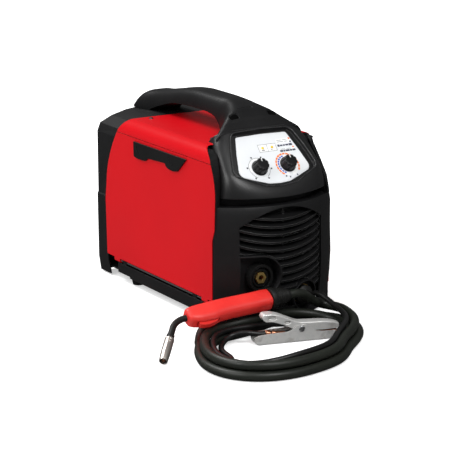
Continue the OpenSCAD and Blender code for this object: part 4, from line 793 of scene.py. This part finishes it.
def printed(name, finish, patches):
    """All the patches of one ink as one piece."""
    return make_piece(name, join(*patches), finish)


lx, rx, thin, thick = -28.5, 28.5, 0.06, 0.1
printed("white_print", white_ink, [
    ring_patch(lx, 0, 15.5, 19.5, 80, 200, thin), ring_patch(rx, 0, 15, 21, -80, 260, thin),
    bar_patch(-14, 30, 20, 43.5, thin), bar_patch(24, 42.5, 53, 51, thin), bar_patch(24, 29, 55, 31.5, thin),
])
printed("black_print", black_ink, [
    ring_patch(lx, 0, 19.6, 20.2, -60, 240, thick),
    *[ring_patch(lx, 0, 21.5, 24.5, a - 3.5, a + 3.5, thick) for a in (-62, -8, 62, 110, 172, 232)],
    *[bar_patch(x, 29.4, x + 0.5, 44, thick) for x in (-15, 2.6, 20.2)],
    *[bar_patch(-15, u, 20.7, u + 0.5, thick) for u in (29.4, 43.6)],
    *[bar_patch(x, 32, x + w, 33.2, thick) for x, w in ((-10, 6), (8.5, 3))],
])
printed("navy_print", navy_ink, [
    *[bar_patch(x, u, x + w, u + h, thick) for x, u, w, h in (
        (24, 36, 4, 4), (29, 36.4, 5, 3), (35, 36.4, 4, 3), (40, 36.4, 6, 3), (47, 36, 6.5, 4),
        (25, 25.4, 6, 3.4), (32, 25.4, 3, 3.4), (36, 25.4, 8, 3.4), (45, 25.4, 4, 3.4), (50, 25.4, 6, 3.4),
        (50.5, 42, 3, 3))],
    *[ring_patch(rx, 0, 22.5, 25.5, a - 3, a + 3, thick) for a in (-62, -100, -118)],
])
printed("orange_print", orange_ink, [
    *[ring_patch(rx, 0, 20.6, 23.2, a, a + 13, thick) for a in range(-36, 236, 17)],
    ring_patch(51.5, 50, 0.1, 1.9, 0, 360, thick), ring_patch(53.5, 33, 0.1, 1.6, 0, 360, thick),
    ring_patch(rx, 0, 20, 20.7, -36, 236, thick),
])
printed("blue_print", blue_ink, [ring_patch(rx, 0, 16, 19, a, a + 12, thick) for a in range(100, 230, 16)])
printed("grey_print", grey_ink, [
    *[bar_patch(x, u, x + w, u + 0.9, thick) for x, u, w in (
        (26, 47.8, 9), (37, 47.8, 8), (26, 44.6, 12), (40, 44.6, 7), (27, 30, 10), (39, 30, 9))],
])
print("panel plate", len(plate.data.polygons), "faces")

# %% [markdown]
# ## The hood
# The hood over the controls is a flat slope that rolls over into the bowed front below it and into two
# leaning sides. A smooth minimum of the slope and the bow makes the roll at the bottom, and a squared
# ellipse across gives both side corners. The recess is sunk by the distance to its outline, so its
# wall follows the outline evenly.

# %% Hood
recess_half = [[0, 73.6], [53, 71], [59, 67], [63, 62], [74, 31], [82, 0], [82, -6], [79, -12], [72, -16],
               [53, -25], [33, -36], [0, -40]]
recess_rim = rounded_outline(recess_half, 7, 300)


def smooth_least(a, b, k):
    """min(a, b) with a parabola of width k where they meet."""
    h = np.clip(0.5 + 0.5 * (b - a) / k, 0, 1)
    return b + (a - b) * h - k * h * (1 - h)


def inside_by(rim, x, up):
    """Distance of each point to a closed outline: positive inside it, negative outside."""
    best, crossings = np.full(x.shape, 1e9), np.zeros(x.shape, int)
    for (ax, ay), (bx, by) in zip(rim, np.roll(rim, -1, 0)):
        along = (x - ax) * (bx - ax) + (up - ay) * (by - ay)
        f = np.clip(along / ((bx - ax) ** 2 + (by - ay) ** 2), 0, 1)
        best = np.minimum(best, np.hypot(x - ax - f * (bx - ax), up - ay - f * (by - ay)))
        if ay != by:
            crossings += ((ay > up) != (by > up)) & (x < (bx - ax) * (up - ay) / (by - ay) + ax)
    return np.where(crossings % 2 == 1, best, -best)


side_depth, crease_up, roll_width = 50, 76.0, 16.0
hood_proud, recess_deep, recess_soft = 4.0, 5.4, 1.3
bow_middle, bow_radius = -51, 176.0


def eased_step(t):
    """3 t^2 - 2 t^3, flat at both its ends."""
    return t * t * (3 - 2 * t)


def hood_grid(rows=170, cols=300):
    """Across: x = w |cos|^(2/7), depth = 50 (1 - |sin|^(2/7)), walked evenly; up: from the bow to the crease.

    Near the crease the sides get half as deep, 6 % narrower and rounder, to meet the handle.
    """
    a = np.linspace(0.0, np.pi, 4001)
    f, g = -np.sign(np.cos(a)) * np.abs(np.cos(a)) ** (2 / 7), 1 - np.sin(a) ** (2 / 7)
    walk = np.concatenate([[0], np.cumsum(np.hypot(np.diff(f) * 100, np.diff(g) * side_depth))])
    at = np.linspace(0, walk[-1], cols)
    f, g = np.interp(at, walk, f)[None, :], np.interp(at, walk, g)[None, :]
    c, q = np.cos(slope), np.sin(slope)
    x0 = 100 * f
    bow = bow_middle - np.sqrt(bow_radius**2 - x0**2)
    foot = -44 * q + c * (186 + bow) + side_depth * g * c * q
    v = np.linspace(0, 1, rows)[:, None]
    up = foot + v * (crease_up - foot)
    front = smooth_least(np.full_like(up, hood_proud), (-186 + up * c - bow) / q, roll_width)
    rise = eased_step(np.clip((up - 30) / 46, 0, 1))
    out = front - side_depth * g * (1 - 0.5 * rise) - 7 * rise * np.abs(f) ** 9
    x = f * (105 - 0.145 * (44 + up * q + out * c)) * (1 - 0.06 * rise**3)
    deep = eased_step(np.clip(inside_by(recess_rim, x, up) / recess_soft + 0.5, 0, 1))
    grid = on_panel(np.stack([x, up, out - recess_deep * deep], -1))
    lip = np.stack([grid[0] * [narrow, 1, 1] + [0, inward, lift]
                    for narrow, inward, lift in ((0.8, 24, 1.0), (0.985, 4, 0), (0.995, 1, 0.7))])
    over = grid[-1] + [0, 4, -4]
    return np.concatenate([lip, grid[1:], over[None]])


hood = make_piece("control_hood", sheet_of(hood_grid(), around=False, ends=False), hood_plastic,
                  instead_of=("panel_housing",), sharp=50)
print("hood", len(hood.data.polygons), "faces")

# %% [markdown]
# ## Bead round the recess
# A glossy bead runs along the rim of the recess and catches one thin line of light. It is a thin tube
# whose circles stand square to the rim, at the height of the hood's slope.

# %% Recess bead
near_rim = np.concatenate([recess_rim, recess_rim[:2]])
bead_line = on_panel(np.column_stack([near_rim, np.full(len(near_rim), 4.0)]))
t = np.gradient(bead_line, axis=0)
t /= np.linalg.norm(t, axis=1)[:, None]
square = on_panel(np.array([0, 0, 1.0])) - on_panel(np.array([0, 0, 0.0]))
side = np.cross(t, square)
a = np.linspace(0, 2 * np.pi, 12, endpoint=False)[None, :, None]
bead = bead_line[:, None] + 0.9 * (np.cos(a) * side[:, None] + np.sin(a) * square)
make_piece("recess_bead", sheet_of(bead, ends=False), bead_plastic)
print("bead", len(bead), "rings")

# %% [markdown]
# ## The front moulding
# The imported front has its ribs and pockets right. It is taken over point for point, its two upright
# posts are trimmed where they stood proud of the hood, and every sharp edge gets a true small round.

# %% Front moulding
shape = nodes["front_moulding"].data.copy()
points = np.zeros(len(shape.vertices) * 3, np.float32)
shape.vertices.foreach_get("co", points)
world = np.array(nodes["front_moulding"].matrix_world)
points = (points.reshape(-1, 3) @ world[:3, :3].T + world[:3, 3]) / MM
depth = points - panel_origin
up = depth[:, 1] * np.cos(slope) + depth[:, 2] * np.sin(slope)
out = depth[:, 2] * np.cos(slope) - depth[:, 1] * np.sin(slope)
proud = np.where((points[:, 2] > 230) & (points[:, 1] < -134), np.maximum(out + 3.0, 0), 0)
points[:, 1] += proud * np.sin(slope)
points[:, 2] -= proud * np.cos(slope)
shape.vertices.foreach_set("co", (points * MM).astype(np.float32).ravel())
shape.materials.clear()
finish_piece("front_moulding_rounded", shape, case_plastic, "machine", ("front_moulding",),
             30, 0.7)
print("front moulding: trimmed by up to", round(float(proud.max()), 1), "mm")


def rounded_copy(node, finish, body, edge):
    """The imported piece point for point, with true small rounds on its sharp edges."""
    copy = nodes[node].data.copy()
    copy.transform(nodes[node].matrix_world)
    copy.materials.clear()
    return finish_piece(node + "_rounded", copy, finish, body, (node,), 30, edge)


rounded_copy("latch_plate", part_plastic, "door", 0.9)
rounded_copy("rear_moulding", case_plastic, "machine", 0.9)


def upright(name, ys, zs, xs, finish):
    """A skin that stands on edge: rows up z, columns along y, with x given at each point."""
    skin = sheet_of(np.stack([xs, ys, zs], -1), around=False, ends=False)
    return make_piece(name, skin, finish)


def post_skin(name, low, high, tuck, forward):
    """Right side from the hood back to the cover: a quarter ellipse in plan at every height."""
    z = np.linspace(low, high, 60)[:, None]
    a = np.linspace(0, 0.5 * np.pi, 32)[None, :]
    front_y = np.where(z < 236, -191.9 + 0.0 * z, -191.9 + 0.8816 * (z - 236)) + forward
    back_y = -181.4 + 52 * np.clip((z - 196) / 85, 0, 1.1) ** 1.5
    back_y = np.maximum(back_y, front_y + 4)
    fold = np.where(z < 281, 119.8, 96 + np.sqrt(np.maximum(23.8**2 - (z - 281) ** 2, 0)))
    near = np.minimum(105 - 0.145 * (z - 221) - tuck, fold - 2)
    along, across = front_y + (back_y - front_y) * (1 - np.cos(a)), near + (fold - near) * np.sin(a)
    upright(name, along, z + 0 * a, across, case_plastic)


post_skin("right_shoulder", 221.5, 304, 9, 3.5)
post_skin("right_post_band", 206, 222, 1, 6)

# %% [markdown]
# ## Dust screen behind the louvres
# A thin dark screen stands behind the slats, bowed like them, so no daylight comes through the front.

# %% Dust screen
a = np.radians(np.linspace(-32, 32, 60))
ring = np.stack([np.sin(a), -np.cos(a)], -1)
ledges = [(171, 25), (168, 23.5), (154, 21.5), (152, 23), *[(152, h) for h in range(30, 200, 10)],
          (152, 203), (168, 203.5)]
screen = np.stack([np.column_stack([r * ring + [0, bow_middle], np.full(60, h)]) for r, h in ledges])
make_piece("dust_screen", sheet_of(screen, around=False, ends=False), part_plastic)

# %% [markdown]
# ## The torch
# The torch handle is a loft along its own axis: each station gives the half width, the top and the
# bottom, and the section is a squared ellipse, so it has flat sides and soft corners as a moulded grip
# has. The slot of the trigger is sunk into its underside. Collar and nozzle are turned profiles.

# %% Torch


def turned(axis, degrees):
    """Rotation matrix about one axis: cos on the diagonal, sin off it."""
    c, q = cosine(degrees), cosine(degrees - 90)
    m = np.eye(3)
    i, j = [(1, 2), (2, 0), (0, 1)][axis]
    m[i, i], m[j, j], m[i, j], m[j, i] = c, c, -q, q
    return m


torch_frame = turned(2, -1.8) @ turned(1, -3.2) @ turned(0, -60.5)


def in_torch(points):
    return np.asarray(points, float) @ torch_frame.T + torch_at


def lathe(profile, step=96):
    """Circles round +X, one for each (distance, radius) of the profile: (x, r cos a, r sin a)."""
    x, r = np.array(profile, float).T
    a = np.linspace(0, 2 * np.pi, step, endpoint=False)[None, :]
    along = np.broadcast_to(x[:, None], (len(x), step))
    return np.stack([along, r[:, None] * np.cos(a), r[:, None] * np.sin(a)], -1)


grip_at = [0, 3, 10, 24, 44, 58, 78, 100, 126.4, 146.9, 158]
grip_wide = [10, 12.5, 14, 14.5, 14.5, 14.5, 14.5, 14.5, 14.5, 15, 15]
grip_over = [10, 13, 15, 16.5, 17.5, 18, 18, 17.5, 17, 17, 16]
grip_below = [-10, -13.5, -17, -20, -20.5, -18, -16.5, -16.5, -17, -17, -16]
x = np.concatenate([[0, 0.4, 1.0, 2.0], np.arange(3, 156, 1.5), [156.6, 157.4, 158.0]])
w, high, low = (table_through(x, grip_at, v)[:, None] for v in (grip_wide, grip_over, grip_below))
end = np.minimum(np.minimum(x, 158.3 - x) / 2.2, 1)[:, None]
shrink = 1 - 0.16 * (1 - np.sqrt(1 - (1 - end) ** 2))
a = np.linspace(0, 2 * np.pi, 120, endpoint=False)[None, :]
c, q = np.cos(a), np.sin(a)
y = -w * shrink * np.sign(c) * np.abs(c) ** 0.62
z = (high + low) / 2 + (high - low) / 2 * shrink * np.sign(q) * np.abs(q) ** 0.62
xx = np.broadcast_to(x[:, None], y.shape)
z = z + np.where(q < 0, sunk(xx, y, (33, 0), (19.3, 4.6), 0.8, 7, soft=1.2), 0)
for line in (66, 70, 74):
    z = z - np.where(q > 0, sunk(xx, y, (line + 76, 0), (0.7, 9.5), 0.6, 0.7, soft=1.0), 0)
make_piece("torch_grip", sheet_of(in_torch(np.stack([xx, y, z], -1))), torch_red,
           instead_of=("torch_handle",), sharp=45)
ribs = [[168.6 + 4.2 * k + d, 17 - 0.7 * k - e]
        for k in range(4) for d, e in ((0, 0), (2.2, 0.1), (2.5, 1.2), (3.9, 1.3))]
collar = [[158.3, 14], [158.3, 18.2], [158.7, 18.8], [159.3, 19], [165.8, 19], [167.2, 18.6], [168.2, 17.6],
          *ribs, [186, 13.6], [186.6, 13.6], [189.4, 13.2], [189.8, 12.1], [190.6, 12], [191, 12.2],
          [193.6, 11.6], [194, 10.5], [195, 10.3], [198.3, 9.4], [198.6, 8.6]]
make_piece("torch_collar_turned", sheet_of(in_torch(lathe(collar))), sleeve_rubber,
           instead_of=("torch_collar",), sharp=40)
elbow = np.array([-38 * cosine(38), 0, -38 * (1 - cosine(52))])
nozzle_axis = np.array([-cosine(52), 0, -cosine(38)])
nozzle_at = elbow + 27 * nozzle_axis - [2, 0, 0]
nozzle = [[0.3, 6.5], [0.3, 7.6], [0.7, 8], [3.6, 8], [4, 7.5], [5, 7.5], [5.4, 8], [9.6, 8], [10, 7.6],
          [10.8, 7.6], [11.2, 8], [36, 8], [50.8, 7.15], [52, 6.9], [52.3, 6.5], [52.2, 5.7], [51, 5.5],
          [36, 6.4], [4, 6.4]]
across = np.array([0, 1.0, 0])
local = lathe(nozzle)
spun = (nozzle_at + local[..., :1] * nozzle_axis + local[..., 1:2] * across
        + local[..., 2:] * np.cross(nozzle_axis, across))
make_piece("nozzle_turned", sheet_of(in_torch(spun), ends=False), nickel, body="nozzle",
           instead_of=("gas_nozzle",), sharp=40)
print("torch grip", len(x), "rows")

# %% [markdown]
# ## The work clamp
# Both arms are pressed from sheet: a channel whose web follows one curve and whose edges follow
# another, with the open sides facing each other. The upper arm has two pressed hollows in its sides.
# Copper jaws with teeth, a pin with two heads and a coil spring complete it.

# %% Work clamp
clamp_turn = turned(2, -14)


def in_clamp(points):
    return np.asarray(points, float) @ clamp_turn.T + clamp_at


def channel(x, web, rim, half, thick, hollows=()):
    """A channel along x: rim, rounded corner, web, corner, rim, and back inside; heights follow x."""
    bend = np.radians(np.linspace(0, 90, 7))
    r = 2.5
    edge = np.linspace(0, 1, 18)
    web, rim, half = (np.broadcast_to(np.asarray(v, float), len(x))[:, None] for v in (web, rim, half))
    up = np.sign(rim - web)
    rise = np.abs(rim - web)
    sides = []
    for inset, order in ((0, 1), (thick, -1)):
        down = inset + r + (rise - inset - r) * edge[::-1][None, :]
        corner_y = half - r + (r - inset) * np.cos(bend)[None, :]
        corner_z = inset + r - r * np.sin(bend)[None, :] + 0 * half
        wall = half - inset + 0 * down
        y = np.concatenate([wall, corner_y, -corner_y[:, ::-1], -wall], 1)
        z = np.concatenate([down, corner_z, corner_z[:, ::-1], down[:, ::-1]], 1)
        sides.append((y[:, ::order], z[:, ::order]))
    y, z = (np.concatenate([sides[0][i], sides[1][i]], 1) for i in (0, 1))
    z = web + up * z
    xx = np.broadcast_to(x[:, None], y.shape)
    for middle, size in hollows:
        in_wall = np.abs(y) > half - thick - 0.1
        y = y - np.sign(y) * sunk(xx, z, middle, size, min(size) - 0.01, 4.5, soft=1.2) * in_wall
    return sheet_of(in_clamp(np.stack([xx, y, z], -1)))


x = np.concatenate([[0, 0.6, 1.5, 3], np.arange(4.5, 148, 0.9), [148, 149]])
web = table_through(x, [0, 1.5, 4, 8, 120, 135, 149], [9, 4.5, 2, 0.2, 0.2, 0.8, 5])
rim = table_through(x, [0, 3, 8, 30, 56, 66, 76, 88, 98, 110, 124, 140, 149],
                    [10, 14.5, 17, 18.5, 19.5, 23, 29, 29.5, 24, 16.5, 15, 14.8, 11])
half = table_through(x, [0, 1.5, 4, 9, 140, 149], [9, 11, 12.4, 13, 13, 11])
make_piece("clamp_lower_channel", channel(x, web, rim, half, 1.8), zinc, instead_of=("clamp_lower_arm",),
           sharp=50)
x = np.concatenate([[14, 14.6, 15.6], np.arange(17, 148, 0.9), [148, 149]])
web = table_through(x, [14, 15.6, 19, 26, 40, 60, 82, 120, 140, 149],
                    [47, 50, 51.6, 51.8, 49.6, 41.5, 33.5, 31.5, 28.5, 25.5])
rim = table_through(x, [14, 17, 22, 30, 48, 64, 76, 90, 120, 139, 149],
                    [46, 41, 38.5, 38, 32.5, 25, 19, 18, 17.2, 17, 18])
half = table_through(x, [14, 17, 22, 50, 120, 149], [8, 10, 10.7, 10.7, 10.4, 9])
upper_arm = channel(x, web, rim, half, 1.8, hollows=[((31, 44.4), (8, 3.6)), ((58, 35), (5, 2.4))])
make_piece("clamp_upper_channel", upper_arm, zinc, body="jaw", instead_of=("clamp_upper_arm",),
           sharp=50)
x = np.arange(112, 147.2, 0.3)
tooth = 1.1 * np.abs((x / 2.4) % 1 - 0.5) * 2
for name, body, low, high in (("lower_jaw", "machine", 6 + 0 * x, 14.9 - tooth),
                              ("upper_jaw", "jaw", 17.1 + tooth, 24 + 0 * x)):
    y = np.array([-8.2, -7.6, 7.6, 8.2, 8.2, 7.6, -7.6, -8.2])[None, :] + 0 * x[:, None]
    z = np.stack([low + 0.6, low, low, low + 0.6, high - 0.6, high, high, high - 0.6], -1)
    bar = np.stack([np.broadcast_to(x[:, None], y.shape), y, z], -1)
    make_piece(name, sheet_of(in_clamp(bar)), copper, body=body, sharp=30)
pin = lathe([[-15.2, 0.2], [-15.2, 4.0], [-14.6, 4.8], [-13.2, 4.9], [-13.2, 2.9], [13.2, 2.9], [13.2, 4.9],
             [14.6, 4.8], [15.2, 4.0], [15.2, 0.2]], 40)
pin = np.stack([pin[..., 1] + 82, pin[..., 0], pin[..., 2] + 23], -1)
make_piece("clamp_pin", sheet_of(in_clamp(pin)), steel, sharp=40)
a = np.linspace(0, 5 * 2 * np.pi, 300)
spring = np.column_stack([82 + 6 * np.cos(a), -7 + 14 * a / a[-1], 23 + 6 * np.sin(a)])
legs = np.concatenate([[[60, -7, 25.0], [76, -7, 28.0]], spring[12:-12], [[80, 7, 16.5], [60, 7, 14.5]]])
sheets, uv = tube_on(in_clamp(legs), 1.1, 12)
make_piece("clamp_coil_spring", sheets, steel, instead_of=("clamp_spring",))
lug = lathe([[22, 2], [22, 5.4], [22.6, 5.9], [30, 5.9], [31, 4.6], [35, 4.4], [37, 5.6], [40, 4.4],
             [56, 3.4], [57, 1]], 40)
lug = np.stack([lug[..., 0], lug[..., 1], lug[..., 2] * np.clip(1.5 - lug[..., 0] / 50, 0.4, 1) + 16], -1)
make_piece("earth_lug", sheet_of(in_clamp(lug)), copper, sharp=50)

# %% [markdown]
# ## The two knobs
# A knob is turned on a lathe in the mould: a skirt, a waist and a domed cap. Nine finger flutes are
# pressed into its side by drawing the radius in near nine angles, and a pointer is let into the cap.

# %% Knobs
knob_profile = [[14.4, 0.3], [14.5, 0.8], [14.5, 2.6], [14.0, 3.2], [13.6, 3.6], [13.3, 4.4], [12.9, 8],
                [12.4, 12], [12.1, 14], [11.7, 15], [11.0, 15.6], [10.0, 15.9], [7, 16], [3, 16], [0.4, 16]]


def knob_grid():
    """Radius of the profile less 1.5 exp(-(angle to flute / 6.5 deg)^2) on its side, at its heights."""
    r, h = (np.array(v)[:, None] for v in zip(*knob_profile))
    a = np.linspace(0, 360, 216, endpoint=False)[None, :]
    to_flute = np.abs((a + 20) % 40 - 20)
    on_side = np.clip((h - 3.2) / 1.4, 0, 1) * np.clip((r - 7) / 4, 0, 1)
    r = r - 1.5 * np.exp(-((to_flute / 6.5) ** 2)) * on_side
    x, up = r * np.cos(np.radians(a)), r * np.sin(np.radians(a))
    return np.stack([x, up, np.broadcast_to(h, x.shape)], -1)


for name, across in (("left_knob", lx), ("right_knob", rx)):
    grid = on_panel(knob_grid() + [across, 0, 0])
    knob = make_piece(name + "_cap", sheet_of(grid), knob_plastic, body=name,
                      instead_of=("knob_" + name.split("_")[0],), sharp=50)
    pointer = np.array([[[across - 0.7, 5, 16.05], [across + 0.7, 5, 16.05]],
                        [[across - 0.7, 10.6, 16.05], [across + 0.7, 10.6, 16.05]],
                        [[across - 0.7, 12.1, 13.9], [across + 0.7, 12.1, 13.9]]])
    patch = sheet_of(on_panel(pointer), around=False, ends=False)
    make_piece(name + "_pointer", patch, white_ink, body=name)
print("knob", len(knob.data.polygons), "faces")
